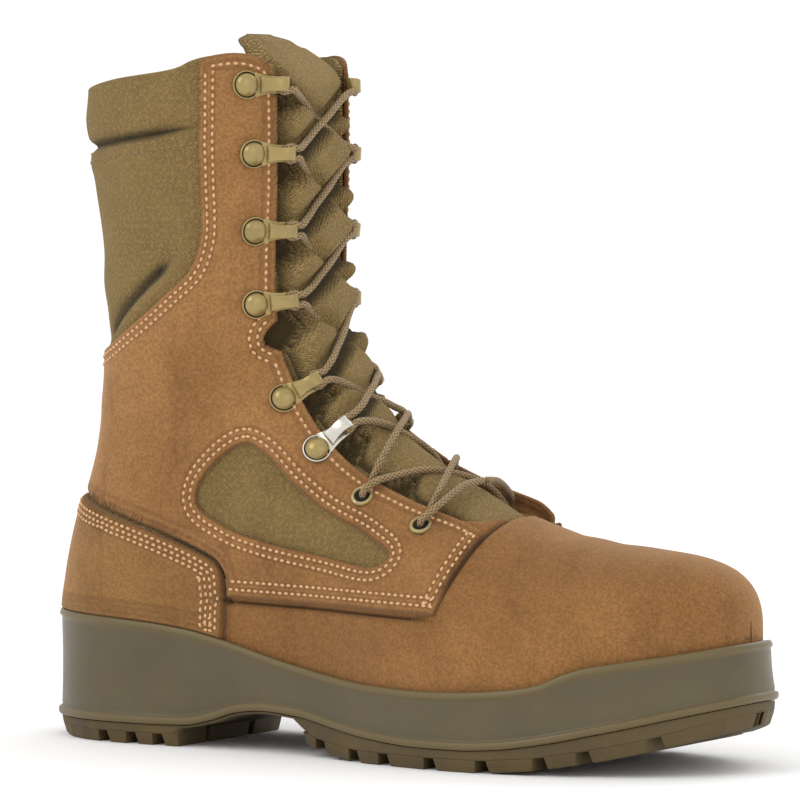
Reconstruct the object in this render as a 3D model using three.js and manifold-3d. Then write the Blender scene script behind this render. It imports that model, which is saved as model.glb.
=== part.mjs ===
// A lace-up combat boot for the right foot, standing on its sole: a suede vamp, quarters and heel counter
// over a padded cloth shaft, a tongue, twelve speed hooks, four eyelets and a lace, on a moulded midsole
// with a lugged rubber outsole. Lengths are millimetres. While it is built the back of the sole is at x = 0,
// the toe points to +X, the outer side of the foot is -Y, and the floor is z = 0.
import * as THREE from "three";
import { mergeVertices } from "three/addons/utils/BufferGeometryUtils.js";
import Module from "manifold-3d";

const wasm = await Module();
wasm.setup();

// Driving dimensions of the sole and the last.
const soleLength = 302; // outsole, heel to toe
const ballWidth = 108; // outsole across the ball
const heelHeight = 49.5; // floor to the rim of the midsole at the back
const collarHeight = 251; // floor to the top edge at the back
const shaftWidth = 82; // across the shaft at the collar
const toeRoundLength = 90; // length over which the toe rounds off in plan
const heelRoundLength = 44; // length over which the heel rounds off in plan
const weltOverhang = 3.6; // how far the sole stands out past the upper
const toeSetback = 2.2; // how much further back the upper's toe and the sole's rim stand

// Thicknesses and clearances.
const wall = 2.2; // leather or cloth of the upper with its lining
const collarPadding = 0.8; // extra thickness of the padded collar
const overlayThickness = 1.7; // suede laid over the upper
const counterThickness = 2.5; // heel counter, which stands above the quarters
const tongueThickness = 5;
const insoleThickness = 4;
const clearance = 0.3; // between pieces that touch
const looseFit = 0.8; // between faceted surfaces whose facets don't match
const tuck = 8; // how far the upper goes down inside the midsole

// Throat, tongue and lace.
const throatHalfWidth = 23; // from the middle of the throat to the edge of a facing
const tongueHalfWidth = 30;
const tongueMargin = 2; // between the tongue's pad and the facings
const tongueLean = 17; // how far its top leans back into the shaft
const tongueRise = 5; // how far its top edge rises past the last section
const laceRadius = 1.6;

// Speed hooks and eyelets.
const studRadius = 5.5;
const studHeight = 2.4;
const strapWidth = 6;
const strapThickness = 1.1;
const strapReach = 15; // from the stud's middle to the fold of the hook
const hookRise = 6; // from the facing to the top of the hook
const eyeletRadius = 4.7;
const eyeletBore = 2.5; // radius of the hole that the lace runs through
const eyeletLip = 0.9;
const barrelWall = 0.6;

// Sole.
const beadWidth = 1.2; // how far the midsole's lower bead stands out
const lipHeight = 3.5; // upper lip of the midsole
const grooveWidth = 4; // between the lugs
const grooveDepth = 4.6;
const treadMargin = 3; // from the outline in to the lugs' flat faces

// Steps of the surfaces.
const sideSteps = 10; // from the base to the crest of one side of a section
const lastRows = 24; // sections from the toe to the collar
const outlineSteps = 36; // along one side of the sole

// Half-width and sideways shift of the outline in plan, as shares of half the ball width, along the sole.
const planRows = [
  { along: 0.0, half: 0.71, shift: 0.0 },
  { along: 0.15, half: 0.72, shift: 0.0 },
  { along: 0.3, half: 0.69, shift: -0.01 },
  { along: 0.42, half: 0.71, shift: -0.03 },
  { along: 0.55, half: 0.87, shift: -0.035 },
  { along: 0.68, half: 0.99, shift: 0.0 },
  { along: 0.78, half: 1.0, shift: 0.05 },
  { along: 0.9, half: 0.97, shift: 0.09 },
  { along: 1.0, half: 0.95, shift: 0.11 },
];

// Lines of the midsole in side view, as shares of the heel's height, along the sole.
const midsoleRows = [
  { along: 0.0, rim: 1.0, bead: 0.165 },
  { along: 0.1, rim: 0.985, bead: 0.165 },
  { along: 0.19, rim: 0.955, bead: 0.165 },
  { along: 0.25, rim: 0.915, bead: 0.175 },
  { along: 0.29, rim: 0.87, bead: 0.225 },
  { along: 0.33, rim: 0.815, bead: 0.3 },
  { along: 0.37, rim: 0.755, bead: 0.325 },
  { along: 0.42, rim: 0.69, bead: 0.305 },
  { along: 0.49, rim: 0.625, bead: 0.235 },
  { along: 0.55, rim: 0.595, bead: 0.19 },
  { along: 0.62, rim: 0.585, bead: 0.165 },
  { along: 0.68, rim: 0.595, bead: 0.165 },
  { along: 0.735, rim: 0.62, bead: 0.185 },
  { along: 0.785, rim: 0.67, bead: 0.23 },
  { along: 0.815, rim: 0.75, bead: 0.265 },
  { along: 0.84, rim: 0.8, bead: 0.3 },
  { along: 0.88, rim: 0.845, bead: 0.355 },
  { along: 0.94, rim: 0.905, bead: 0.445 },
  { along: 1.0, rim: 0.975, bead: 0.535 },
];

// Underside of the outsole in side view: heel, breast, arch, forefoot and toe, as shares of the heel's height.
const treadRows = [
  { along: 0.0, height: 0.1 },
  { along: 0.02, height: 0.03 },
  { along: 0.045, height: 0.0 },
  { along: 0.237, height: 0.0 },
  { along: 0.243, height: 0.08 },
  { along: 0.29, height: 0.15 },
  { along: 0.34, height: 0.225 },
  { along: 0.39, height: 0.235 },
  { along: 0.425, height: 0.205 },
  { along: 0.432, height: 0.1 },
  { along: 0.48, height: 0.03 },
  { along: 0.54, height: 0.0 },
  { along: 0.69, height: 0.0 },
  { along: 0.76, height: 0.025 },
  { along: 0.83, height: 0.09 },
  { along: 0.9, height: 0.18 },
  { along: 0.96, height: 0.29 },
  { along: 1.0, height: 0.37 },
];
// Grooves across the outsole, as shares of its length: three in the heel, then the forefoot's.
const grooveRows = [0.124, 0.168, 0.208, 0.46, 0.518, 0.568, 0.64, 0.713, 0.787, 0.839, 0.916];

// The crest of the last in side view, from the toe over the vamp and the throat to the collar, as shares of
// the upper's length and of the collar's height.
const crestRows = [
  { along: 1.0, height: 0.223 },
  { along: 0.9965, height: 0.249 },
  { along: 0.984, height: 0.274 },
  { along: 0.956, height: 0.298 },
  { along: 0.9165, height: 0.312 },
  { along: 0.863, height: 0.32 },
  { along: 0.804, height: 0.328 },
  { along: 0.747, height: 0.341 },
  { along: 0.69, height: 0.362 },
  { along: 0.634, height: 0.4 },
  { along: 0.577, height: 0.435 },
  { along: 0.523, height: 0.473 },
  { along: 0.479, height: 0.515 },
  { along: 0.4425, height: 0.562 },
  { along: 0.416, height: 0.612 },
  { along: 0.3985, height: 0.666 },
  { along: 0.3915, height: 0.72 },
  { along: 0.3875, height: 0.775 },
  { along: 0.3855, height: 0.83 },
  { along: 0.3845, height: 0.88 },
  { along: 0.3835, height: 0.925 },
  { along: 0.3835, height: 0.965 },
  { along: 0.3835, height: 1.0 },
  { along: 0.3835, height: 1.03 },
  { along: 0.3835, height: 1.06 },
];

// The back of the upper, as a share of the sole's length, and the shaft's width, as a share of its width at
// the collar, from the sole up.
const shaftRows = [
  { height: 0.0, back: 0.0, half: 0.9 },
  { height: 0.19, back: 0.0, half: 0.88 },
  { height: 0.25, back: 0.007, half: 0.87 },
  { height: 0.3, back: 0.016, half: 0.86 },
  { height: 0.35, back: 0.028, half: 0.85 },
  { height: 0.4, back: 0.043, half: 0.845 },
  { height: 0.45, back: 0.055, half: 0.85 },
  { height: 0.5, back: 0.062, half: 0.86 },
  { height: 0.57, back: 0.067, half: 0.88 },
  { height: 0.64, back: 0.068, half: 0.9 },
  { height: 0.71, back: 0.066, half: 0.92 },
  { height: 0.78, back: 0.06, half: 0.95 },
  { height: 0.86, back: 0.05, half: 0.98 },
  { height: 0.93, back: 0.044, half: 1.0 },
  { height: 1.0, back: 0.042, half: 1.0 },
  { height: 1.1, back: 0.042, half: 1.0 },
];

// Sections of the last. Each runs from the base line (0 at the toe, 1 at the heel, 2 at the collar) to the
// same numbered row of the crest; flat is the share of it that stands upright and round its superellipse.
const sectionRows = [
  { base: 0.0, flat: 0.5, round: 2.5 },
  { base: 0.007, flat: 0.48, round: 2.5 },
  { base: 0.023, flat: 0.42, round: 2.45 },
  { base: 0.052, flat: 0.34, round: 2.4 },
  { base: 0.092, flat: 0.26, round: 2.3 },
  { base: 0.145, flat: 0.2, round: 2.2 },
  { base: 0.204, flat: 0.17, round: 2.1 },
  { base: 0.262, flat: 0.15, round: 2.05 },
  { base: 0.32, flat: 0.15, round: 2.0 },
  { base: 0.385, flat: 0.16, round: 2.0 },
  { base: 0.457, flat: 0.18, round: 2.05 },
  { base: 0.535, flat: 0.2, round: 2.1 },
  { base: 0.62, flat: 0.24, round: 2.15 },
  { base: 0.715, flat: 0.3, round: 2.2 },
  { base: 0.825, flat: 0.37, round: 2.3 },
  { base: 0.94, flat: 0.44, round: 2.4 },
  { base: 1.0, flat: 0.49, round: 2.5 },
  { base: 1.12, flat: 0.51, round: 2.5 },
  { base: 1.25, flat: 0.51, round: 2.5 },
  { base: 1.38, flat: 0.51, round: 2.5 },
  { base: 1.52, flat: 0.5, round: 2.5 },
  { base: 1.65, flat: 0.5, round: 2.5 },
  { base: 1.78, flat: 0.5, round: 2.5 },
  { base: 1.89, flat: 0.5, round: 2.5 },
  { base: 2.0, flat: 0.5, round: 2.5 },
];

// Where hooks and eyelets sit, counted in sections, with their distance from the middle as a share of the
// throat's half-width.
const fasteningRows = [
  { at: 22.02, off: 1.48, kind: "hook" },
  { at: 19.4, off: 1.42, kind: "hook" },
  { at: 17.16, off: 1.36, kind: "hook" },
  { at: 15.28, off: 1.3, kind: "hook" },
  { at: 13.2, off: 1.22, kind: "hook" },
  { at: 11.94, off: 1.2, kind: "hook" },
  { at: 10.6, off: 1.26, kind: "eyelet" },
  { at: 9.18, off: 1.32, kind: "eyelet" },
];

// The tongue, counted in sections: its half-width as a share of tongueHalfWidth, how far it leans back into
// the shaft as a share of tongueLean, and how far it rises past the last section as a share of tongueRise.
const tongueRows = [
  { at: 7, half: 0.7, back: 0, rise: 0 },
  { at: 8, half: 0.86, back: 0, rise: 0 },
  { at: 8.5, half: 0.92, back: 0, rise: 0 },
  { at: 9, half: 0.96, back: 0, rise: 0 },
  { at: 10, half: 1, back: 0, rise: 0 },
  { at: 11, half: 1, back: 0, rise: 0 },
  { at: 12, half: 1, back: 0, rise: 0 },
  { at: 13, half: 1, back: 0, rise: 0 },
  { at: 14, half: 1, back: 0, rise: 0 },
  { at: 15, half: 1, back: 0, rise: 0 },
  { at: 16, half: 1, back: 0, rise: 0 },
  { at: 17, half: 1, back: 0, rise: 0 },
  { at: 18, half: 1, back: 0, rise: 0 },
  { at: 19, half: 1, back: 0, rise: 0 },
  { at: 20, half: 1, back: 0.04, rise: 0 },
  { at: 21, half: 0.99, back: 0.1, rise: 0 },
  { at: 22, half: 0.97, back: 0.2, rise: 0 },
  { at: 23, half: 0.92, back: 0.42, rise: 0 },
  { at: 24, half: 0.84, back: 0.75, rise: 0 },
  { at: 24, half: 0.74, back: 0.93, rise: 0.6 },
  { at: 24, half: 0.58, back: 1, rise: 1 },
];

// Side outlines of the panels, as shares of the sole's length and of the collar's height.
const collarLine = [[-0.1, 0.99], [0.03, 0.99], [0.15, 1.005], [0.245, 1.022], [0.268, 1.038],
  [0.3, 1.046], [0.335, 1.044], [0.36, 1.03], [0.39, 1.0]];
const collarSeam = [[-0.1, 0.895], [0.03, 0.895], [0.15, 0.91], [0.272, 0.932]];
const quarterRear = [[-0.1, 0.59], [0.06, 0.59], [0.12, 0.605], [0.18, 0.645], [0.23, 0.69], [0.263, 0.725],
  [0.278, 0.77], [0.28, 0.85], [0.28, 0.95], [0.28, 1.1]];
const quarterFront = [[0.684, 0.4], [0.668, 0.345], [0.657, 0.3], [0.637, 0.226]];
const quarterLow = [[0.56, 0.226], [0.4, 0.228], [0.31, 0.228]];
const counterTop = [[-0.1, 0.39], [0.02, 0.386], [0.08, 0.366], [0.175, 0.335], [0.28, 0.29], [0.3, 0.275],
  [0.306, 0.25], [0.306, 0.1]];
const windowLine = [[0.335, 0.462], [0.31, 0.45], [0.27, 0.4], [0.268, 0.368], [0.31, 0.336], [0.36, 0.318],
  [0.46, 0.298], [0.54, 0.288], [0.555, 0.303], [0.52, 0.33], [0.45, 0.365], [0.4, 0.405], [0.36, 0.448]];
const flexNotch = [[0.44, 0.7], [0.371, 0.659], [0.3477, 0.617], [0.371, 0.598], [0.42, 0.574]];

// A smooth reading of one column of a table, whose rows are placed by another column.
function column(rows, place, name) {
  const xs = rows.map((row) => row[place]);
  const ys = rows.map((row) => row[name]);
  const steps = xs.slice(1).map((x, i) => (ys[i + 1] - ys[i]) / (x - xs[i]));
  const slopes = xs.map((_, i) => {
    if (i === 0) return steps[0];
    if (i === xs.length - 1) return steps[i - 1];
    if (steps[i - 1] * steps[i] <= 0) return 0;
    return (2 * steps[i - 1] * steps[i]) / (steps[i - 1] + steps[i]);
  });
  return (at) => {
    const x = Math.min(Math.max(at, xs[0]), xs[xs.length - 1]);
    let i = 0;
    while (i < xs.length - 2 && x > xs[i + 1]) i += 1;
    const width = xs[i + 1] - xs[i];
    const t = (x - xs[i]) / width;
    const rest = 1 - t;
    return (
      ys[i] * (1 + 2 * t) * rest * rest +
      ys[i + 1] * t * t * (3 - 2 * t) +
      slopes[i] * width * t * rest * rest -
      slopes[i + 1] * width * t * t * rest
    );
  };
}

const mix = (a, b, t) => a + (b - a) * t;
const ramp = (t) => {
  const u = Math.min(Math.max(t, 0), 1);
  return u * u * (3 - 2 * u);
};

// A superellipse's height over its flat end: 0 at the tip, 1 from the full share on.
function roundEnd(share, power) {
  const t = 1 - Math.min(Math.max(share, 0), 1);
  return (1 - t ** power) ** (1 / power);
}

const planHalf = column(planRows, "along", "half");
const planShift = column(planRows, "along", "shift");
const shaftBack = column(shaftRows, "height", "back");
const shaftHalf = column(shaftRows, "height", "half");
const rimShare = column(midsoleRows, "along", "rim");
const beadShare = column(midsoleRows, "along", "bead");
const rimHeight = (x) => rimShare(x / soleLength) * heelHeight;
const beadHeight = (x) => beadShare(x / soleLength) * heelHeight;
const bedHeight = (x) => rimHeight(x) - tuck;

const upperToe = soleLength - weltOverhang - toeSetback;
const outlinePower = 2.25;
const ankleLow = 0.2; // the foot's own widths hold up to this share of the collar's height
const ankleHigh = 0.55; // and the shaft's hold from this share on

function backLine(z) {
  return weltOverhang + shaftBack(z / collarHeight) * soleLength;
}

// Sideways shift of the last's middle, which fades out up the ankle.
function middle(x, z) {
  const fade = ramp((z / collarHeight - ankleLow) / (ankleHigh - ankleLow));
  return (planShift(x / soleLength) * (1 - fade) * ballWidth) / 2;
}

// Half-width of the last at a place of its side view. grow is measured outwards from the upper's surface.
function halfWidth(x, z, grow) {
  const share = x / soleLength;
  const height = z / collarHeight;
  const foot = (planHalf(share) * ballWidth) / 2 - weltOverhang;
  const shaft = (shaftHalf(height) * shaftWidth) / 2;
  const shaftShare = ramp((height - ankleLow) / (ankleHigh - ankleLow)) * ramp((0.75 - share) / 0.2);
  return (
    (mix(foot, shaft, shaftShare) + grow) *
    roundEnd((x - backLine(z) + grow) / (heelRoundLength + grow), outlinePower) *
    roundEnd((upperToe + grow - x) / (toeRoundLength + grow), outlinePower)
  );
}

const numbered = (rows) => rows.map((row, i) => ({ ...row, at: i }));
const crestAlong = column(numbered(crestRows), "at", "along");
const crestUp = column(numbered(crestRows), "at", "height");
const sectionBase = column(numbered(sectionRows), "at", "base");
const sectionFlat = column(numbered(sectionRows), "at", "flat");
const sectionRound = column(numbered(sectionRows), "at", "round");
const lastSection = sectionRows.length - 1;

// A point of the crest in side view, moved outwards by grow.
function crestPoint(at, grow) {
  const place = (t) => [crestAlong(t) * upperToe, crestUp(t) * collarHeight];
  const reach = 0.05;
  const [ax, az] = place(Math.max(at - reach, 0));
  const [bx, bz] = place(Math.min(at + reach, lastSection));
  const length = Math.hypot(bx - ax, bz - az);
  const [x, z] = place(at);
  return [x + (grow * (bz - az)) / length, z - (grow * (bx - ax)) / length];
}

// A point of the base line: under the foot from the toe to the heel, then up the back.
function basePoint(base, grow) {
  const heel = weltOverhang - grow;
  if (base <= 1) {
    const x = mix(upperToe + grow, heel, base);
    return [x, bedHeight(x) + looseFit];
  }
  const z = mix(bedHeight(heel) + looseFit, collarHeight, base - 1);
  return [backLine(z) - grow, z];
}

// A point of the last: at counts the sections, step runs from 0 at the base to 1 at the crest.
function lastPoint(at, step, side, grow) {
  const [bx, bz] = basePoint(sectionBase(at), grow);
  const [fx, fz] = crestPoint(at, grow);
  const share = (1 - Math.cos(Math.PI * step)) / 2;
  const x = mix(bx, fx, share);
  const z = mix(bz, fz, share);
  const front = roundEnd((1 - share) / (1 - sectionFlat(at)), sectionRound(at));
  return new THREE.Vector3(x, middle(x, z) + side * halfWidth(x, z, grow) * front, z);
}

// The last's surface at a place of its side view, found by the section whose line runs through that place.
function surfacePoint(x, z, side, grow) {
  let low = 0;
  let high = lastSection;
  for (let i = 0; i < 26; i += 1) {
    const at = (low + high) / 2;
    const [bx, bz] = basePoint(sectionBase(at), grow);
    const [fx, fz] = crestPoint(at, grow);
    if ((fx - bx) * (z - bz) - (fz - bz) * (x - bx) > 0) low = at;
    else high = at;
  }
  const at = (low + high) / 2;
  const [bx, bz] = basePoint(sectionBase(at), grow);
  const [fx, fz] = crestPoint(at, grow);
  const share = Math.hypot(x - bx, z - bz) / Math.hypot(fx - bx, fz - bz);
  const front = roundEnd((1 - share) / (1 - sectionFlat(at)), sectionRound(at));
  return new THREE.Vector3(x, middle(x, z) + side * halfWidth(x, z, grow) * front, z);
}

// A point of the facings: square to the crest at a section's crest point, and off the middle by a distance.
const facingDepth = 40;
function facingPoint(at, off, grow) {
  const side = off < 0 ? -1 : 1;
  const [cx, cz] = crestPoint(at, grow);
  const [ox, oz] = crestPoint(at, grow + 1);
  const pointAt = (depth) => surfacePoint(cx - (ox - cx) * depth, cz - (oz - cz) * depth, side, grow);
  let low = 0;
  let high = facingDepth;
  for (let i = 0; i < 24; i += 1) {
    const p = pointAt((low + high) / 2);
    if (Math.abs(p.y - middle(p.x, p.z)) < Math.abs(off)) low = (low + high) / 2;
    else high = (low + high) / 2;
  }
  return pointAt((low + high) / 2);
}

// Solid makers.
function solidFromGeometry(geometry) {
  const bare = geometry.clone();
  for (const name of Object.keys(bare.attributes)) {
    if (name !== "position") bare.deleteAttribute(name);
  }
  const merged = mergeVertices(bare, 1e-3);
  const kept = [];
  for (let i = 0; i < merged.index.count; i += 3) {
    const corners = [0, 1, 2].map((k) => merged.index.getX(i + k));
    if (new Set(corners).size === 3) kept.push(...corners);
  }
  const shape = { numProp: 3, vertProperties: merged.attributes.position.array, triVerts: new Uint32Array(kept) };
  return new wasm.Manifold(new wasm.Mesh(shape));
}

// Closed loops of points joined row by row, with ends filled by strips between the two sides of a loop. tips
// is 1 where a loop starts with a point on its middle line, and 0 where it starts beside it.
function solidFromLoops(loops, tips = 0) {
  const count = loops[0].length;
  const index = [];
  const at = (row, k) => row * count + (k % count);
  for (let row = 0; row < loops.length - 1; row += 1) {
    for (let k = 0; k < count; k += 1) {
      index.push(at(row, k), at(row, k + 1), at(row + 1, k));
      index.push(at(row, k + 1), at(row + 1, k + 1), at(row + 1, k));
    }
  }
  const last = loops.length - 1;
  for (let k = 0; k < (count - 1) / 2; k += 1) {
    const near = [k, k + 1];
    const far = near.map((n) => (2 * count - 1 + tips - n) % count);
    index.push(at(0, near[0]), at(0, far[1]), at(0, near[1]), at(0, near[0]), at(0, far[0]), at(0, far[1]));
    index.push(at(last, near[0]), at(last, near[1]), at(last, far[1]));
    index.push(at(last, near[0]), at(last, far[1]), at(last, far[0]));
  }
  const geometry = new THREE.BufferGeometry();
  const positions = loops.flatMap((loop) => loop.flatMap((p) => [p.x, p.y, p.z]));
  geometry.setAttribute("position", new THREE.Float32BufferAttribute(positions, 3));
  geometry.setIndex(index);
  return solidFromGeometry(geometry);
}

// A side outline in millimetres from shares of the sole's length and the collar's height.
const sidePoints = (rows) => rows.map(([x, z]) => new THREE.Vector2(x * soleLength, z * collarHeight));

// A smooth line through side points.
function smooth(rows, steps, closed = false) {
  const points = sidePoints(rows).map((p) => new THREE.Vector3(p.x, p.y, 0));
  return new THREE.CatmullRomCurve3(points, closed, "centripetal")
    .getPoints(steps)
    .slice(0, closed ? -1 : undefined)
    .map((p) => new THREE.Vector2(p.x, p.y));
}

const farSide = 120; // past either side of the boot
const pastCollar = 20; // cutting shapes run on above the collar by this
const pastShell = 30; // and those that hollow out another by this
// A side outline pushed across the boot between two sideways places.
function sidePrism(points, from = -farSide, to = farSide) {
  const geometry = new THREE.ExtrudeGeometry(new THREE.Shape(points), { depth: to - from, bevelEnabled: false });
  geometry.rotateX(Math.PI / 2);
  geometry.translate(0, to, 0);
  return solidFromGeometry(geometry);
}

// The last as a solid, grown outwards by grow and carried on above the collar by lift.
function lastSolid(grow, lift) {
  const loops = [];
  for (let row = 0; row <= lastRows; row += 1) {
    const at = (row * lastSection) / lastRows;
    const loop = [];
    for (let k = 0; k <= sideSteps; k += 1) loop.push(lastPoint(at, k / sideSteps, -1, grow));
    for (let k = sideSteps - 1; k >= 0; k -= 1) loop.push(lastPoint(at, k / sideSteps, 1, grow));
    loops.push(loop);
  }
  loops.push(loops[lastRows].map((p) => new THREE.Vector3(p.x, p.y, p.z + lift)));
  return solidFromLoops(loops);
}

const throatCutOut = 16; // how far the throat's cut stands out of the crest
const throatCutIn = 24; // and how far it goes in

// A bar of rectangles along the crest, width to each side of the middle.
function throatSolid(from, to, width) {
  const loops = [];
  const steps = Math.ceil((to - from) * 1.5);
  for (let i = 0; i <= steps; i += 1) {
    const at = mix(from, to, i / steps);
    const [ox, oz] = crestPoint(Math.min(at, lastSection), throatCutOut);
    const [ix, iz] = crestPoint(Math.min(at, lastSection), -throatCutIn);
    const lift = Math.max(at - lastSection, 0) * pastCollar;
    const shift = middle(ox, oz);
    loops.push([
      new THREE.Vector3(ix, shift - width, iz + lift),
      new THREE.Vector3(ox, shift - width, oz + lift),
      new THREE.Vector3(ox, shift + width, oz + lift),
      new THREE.Vector3(ix, shift + width, iz + lift),
    ]);
  }
  return solidFromLoops(loops);
}

// Half-width of the sole in plan, grown outwards by grow.
function soleHalf(x, grow) {
  const half = (planHalf(x / soleLength) * ballWidth) / 2;
  return (
    (half + grow) *
    roundEnd((x + grow) / (heelRoundLength + weltOverhang + grow), outlinePower) *
    roundEnd((soleLength + grow - x) / (toeRoundLength + weltOverhang + grow), outlinePower)
  );
}

// How far along the sole a step of its outline lies.
const outlinePlace = (k, grow) => mix(-grow, soleLength + grow, (1 - Math.cos((Math.PI * k) / outlineSteps)) / 2);

// The sole's outline in plan, grown outwards by grow, as one loop.
function outline(grow) {
  const points = [];
  const add = (k, side) => {
    const x = outlinePlace(k, grow);
    points.push([x, middle(x, 0) + side * soleHalf(x, grow)]);
  };
  for (let k = 0; k <= outlineSteps; k += 1) add(k, -1);
  for (let k = outlineSteps - 1; k > 0; k -= 1) add(k, 1);
  return points;
}

// The outline as a ring of points at a height for each x, with its toe set back.
const ring = (grow, height, toeBack = 0) =>
  outline(grow).map(([x, y]) => new THREE.Vector3(x - toeBack * ramp((x / soleLength - 0.75) / 0.25), y, height(x)));

const boot = new THREE.Group();
const across = outline(0).map(([, y]) => y);
const middleAcross = (Math.min(...across) + Math.max(...across)) / 2;

// Adds a solid to the boot as a named mesh, with the boot's middle at the origin. A cut between faceted
// skins can leave specks beside a piece, so the piece is the largest body.
function addPiece(name, solid, finish) {
  const bodies = solid.decompose().sort((a, b) => b.volume() - a.volume());
  const mesh = bodies[0].getMesh();
  const count = mesh.vertProperties.length / mesh.numProp;
  const positions = new Float32Array(count * 3);
  for (let i = 0; i < count; i += 1) {
    const start = i * mesh.numProp;
    positions.set(mesh.vertProperties.subarray(start, start + 3), i * 3);
    positions[i * 3] -= soleLength / 2;
    positions[i * 3 + 1] -= middleAcross;
  }
  const geometry = new THREE.BufferGeometry();
  geometry.setAttribute("position", new THREE.BufferAttribute(positions, 3));
  geometry.setIndex(new THREE.BufferAttribute(mesh.triVerts, 1));
  const piece = new THREE.Mesh(geometry, new THREE.MeshStandardMaterial(finish));
  piece.name = name;
  boot.add(piece);
}

const finishes = {
  suede: { color: 0x9f7547, roughness: 0.95, metalness: 0 },
  cloth: { color: 0x83713f, roughness: 0.95, metalness: 0 },
  midsole: { color: 0x6b6350, roughness: 0.6, metalness: 0 },
  rubber: { color: 0x70603f, roughness: 0.7, metalness: 0 },
  insole: { color: 0x4a4332, roughness: 0.9, metalness: 0 },
  hookMetal: { color: 0xb09a63, roughness: 0.45, metalness: 0.5 },
  eyeletMetal: { color: 0xa8946a, roughness: 0.4, metalness: 0.6 },
  lace: { color: 0x8c7a50, roughness: 0.9, metalness: 0 },
};

const overlayOut = clearance + overlayThickness;
const skinOut = overlayOut + clearance; // where hooks and eyelets sit
const throatStart = 8.1; // where the throat ends on the vamp, counted in sections
const facingStart = 7; // where the gap between the quarters ends, under the front of the facings
const upperThroat = throatSolid(throatStart, lastSection + 1, throatHalfWidth);
const quarterThroat = throatSolid(facingStart, lastSection + 1, throatHalfWidth + clearance);
const overCollar = sidePrism([...smooth(collarLine, 20), ...sidePoints([[0.6, 1.0], [0.6, 1.5], [-0.1, 1.5]])]);
const notch = sidePrism(smooth(flexNotch, 10));

// Places of the hooks and eyelets: a point on the facing with directions across it, up it and out of it.
function placeOn(row, side) {
  const off = side * row.off * throatHalfWidth;
  const origin = facingPoint(row.at, off, skinOut);
  const inner = facingPoint(row.at, off - side * strapReach, skinOut);
  const inward = inner.sub(origin).normalize();
  const along = facingPoint(row.at + 0.1, off, skinOut).sub(origin).normalize();
  const out = new THREE.Vector3().crossVectors(inward, along).multiplyScalar(-side).normalize();
  const up = new THREE.Vector3().crossVectors(out, inward);
  return new THREE.Matrix4().makeBasis(inward, up, out).setPosition(origin);
}

const turned = (solid, matrix) => solid.transform(matrix.elements);

function lathe(points, segments) {
  const geometry = new THREE.LatheGeometry(points.map(([r, h]) => new THREE.Vector2(r, h)), segments);
  geometry.rotateX(Math.PI / 2);
  return solidFromGeometry(geometry);
}

// A box given by its corners.
function box(low, high) {
  const size = high.map((value, i) => value - low[i]);
  const geometry = new THREE.BoxGeometry(...size);
  geometry.translate(...low.map((value, i) => value + size[i] / 2));
  return solidFromGeometry(geometry);
}

// A speed hook: a domed stud and a strap that follows the facing, then folds back over itself to hold the
// lace. Its own x runs towards the throat and its z out of the facing; sink is trimmed off by the skin.
const sink = 3;
const foldReach = strapReach + 1.2; // to the outside of the fold
const hookHead = lathe([[0, -sink], [studRadius, -sink], [studRadius, 1], [studRadius * 0.75, 1.9],
  [studRadius * 0.35, studHeight], [0, studHeight]], 10);
const strapBox = box([0, -strapWidth / 2, -sink], [strapReach, strapWidth / 2, hookRise / 2]);
function hookFold() {
  const t = strapThickness;
  const top = hookRise;
  const fold = [[strapReach - 2, -sink], [strapReach, -sink], [strapReach + 0.9, 1],
    [strapReach + 1.2, top * 0.6], [strapReach + 0.2, top * 0.93], [strapReach - 1.4, top], [7.6, top * 0.9],
    [7.4, top * 0.9 - t], [strapReach - 1.8, top - t], [strapReach - 0.4, top - t * 1.8],
    [strapReach - 0.3, t * 2], [strapReach - 2, t]];
  const shape = new THREE.Shape(fold.map(([x, z]) => new THREE.Vector2(x, z)));
  const geometry = new THREE.ExtrudeGeometry(shape, { depth: strapWidth, bevelEnabled: false });
  geometry.rotateX(Math.PI / 2);
  geometry.translate(0, strapWidth / 2, 0);
  return solidFromGeometry(geometry);
}

function eyeletSolids() {
  const bore = eyeletBore;
  const outer = eyeletRadius;
  const flange = lathe([[bore, -sink], [outer, -sink], [outer, 0.3], [outer - 0.8, eyeletLip],
    [bore + 0.7, eyeletLip], [bore, 0.4], [bore, -sink]], 12);
  const depth = -skinOut - wall + looseFit;
  const barrel = lathe([[bore, depth], [bore + barrelWall, depth], [bore + barrelWall, 0.3], [bore, 0.3],
    [bore, depth]], 12);
  const hole = lathe([[0, -12], [bore + barrelWall + clearance, -12], [bore + barrelWall + clearance, 6], [0, 6]], 12);
  return { flange, barrel, hole };
}

const skin = lastSolid(skinOut, pastCollar);
const eyeletParts = eyeletSolids();
const foldPart = hookFold();
const plateSkin = lastSolid(skinOut + strapThickness, pastCollar);
const sides = [["lateral", -1], ["medial", 1]];
const holes = [];
const fittings = [];
for (const [sideName, side] of sides) {
  const counts = { hook: 0, eyelet: 0 };
  for (const row of fasteningRows) {
    counts[row.kind] += 1;
    const place = placeOn(row, side);
    const name = `${row.kind}_${sideName}_${counts[row.kind]}`;
    if (row.kind === "hook") {
      const strap = turned(strapBox, place).intersect(plateSkin);
      const hook = turned(hookHead, place).add(turned(foldPart, place)).add(strap).subtract(skin);
      fittings.push([name, hook, finishes.hookMetal]);
    } else {
      const flange = turned(eyeletParts.flange, place).subtract(skin);
      fittings.push([name, flange.add(turned(eyeletParts.barrel, place)), finishes.eyeletMetal]);
      holes.push(turned(eyeletParts.hole, place));
    }
  }
}
const holeCut = wasm.Manifold.union(holes);

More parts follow.
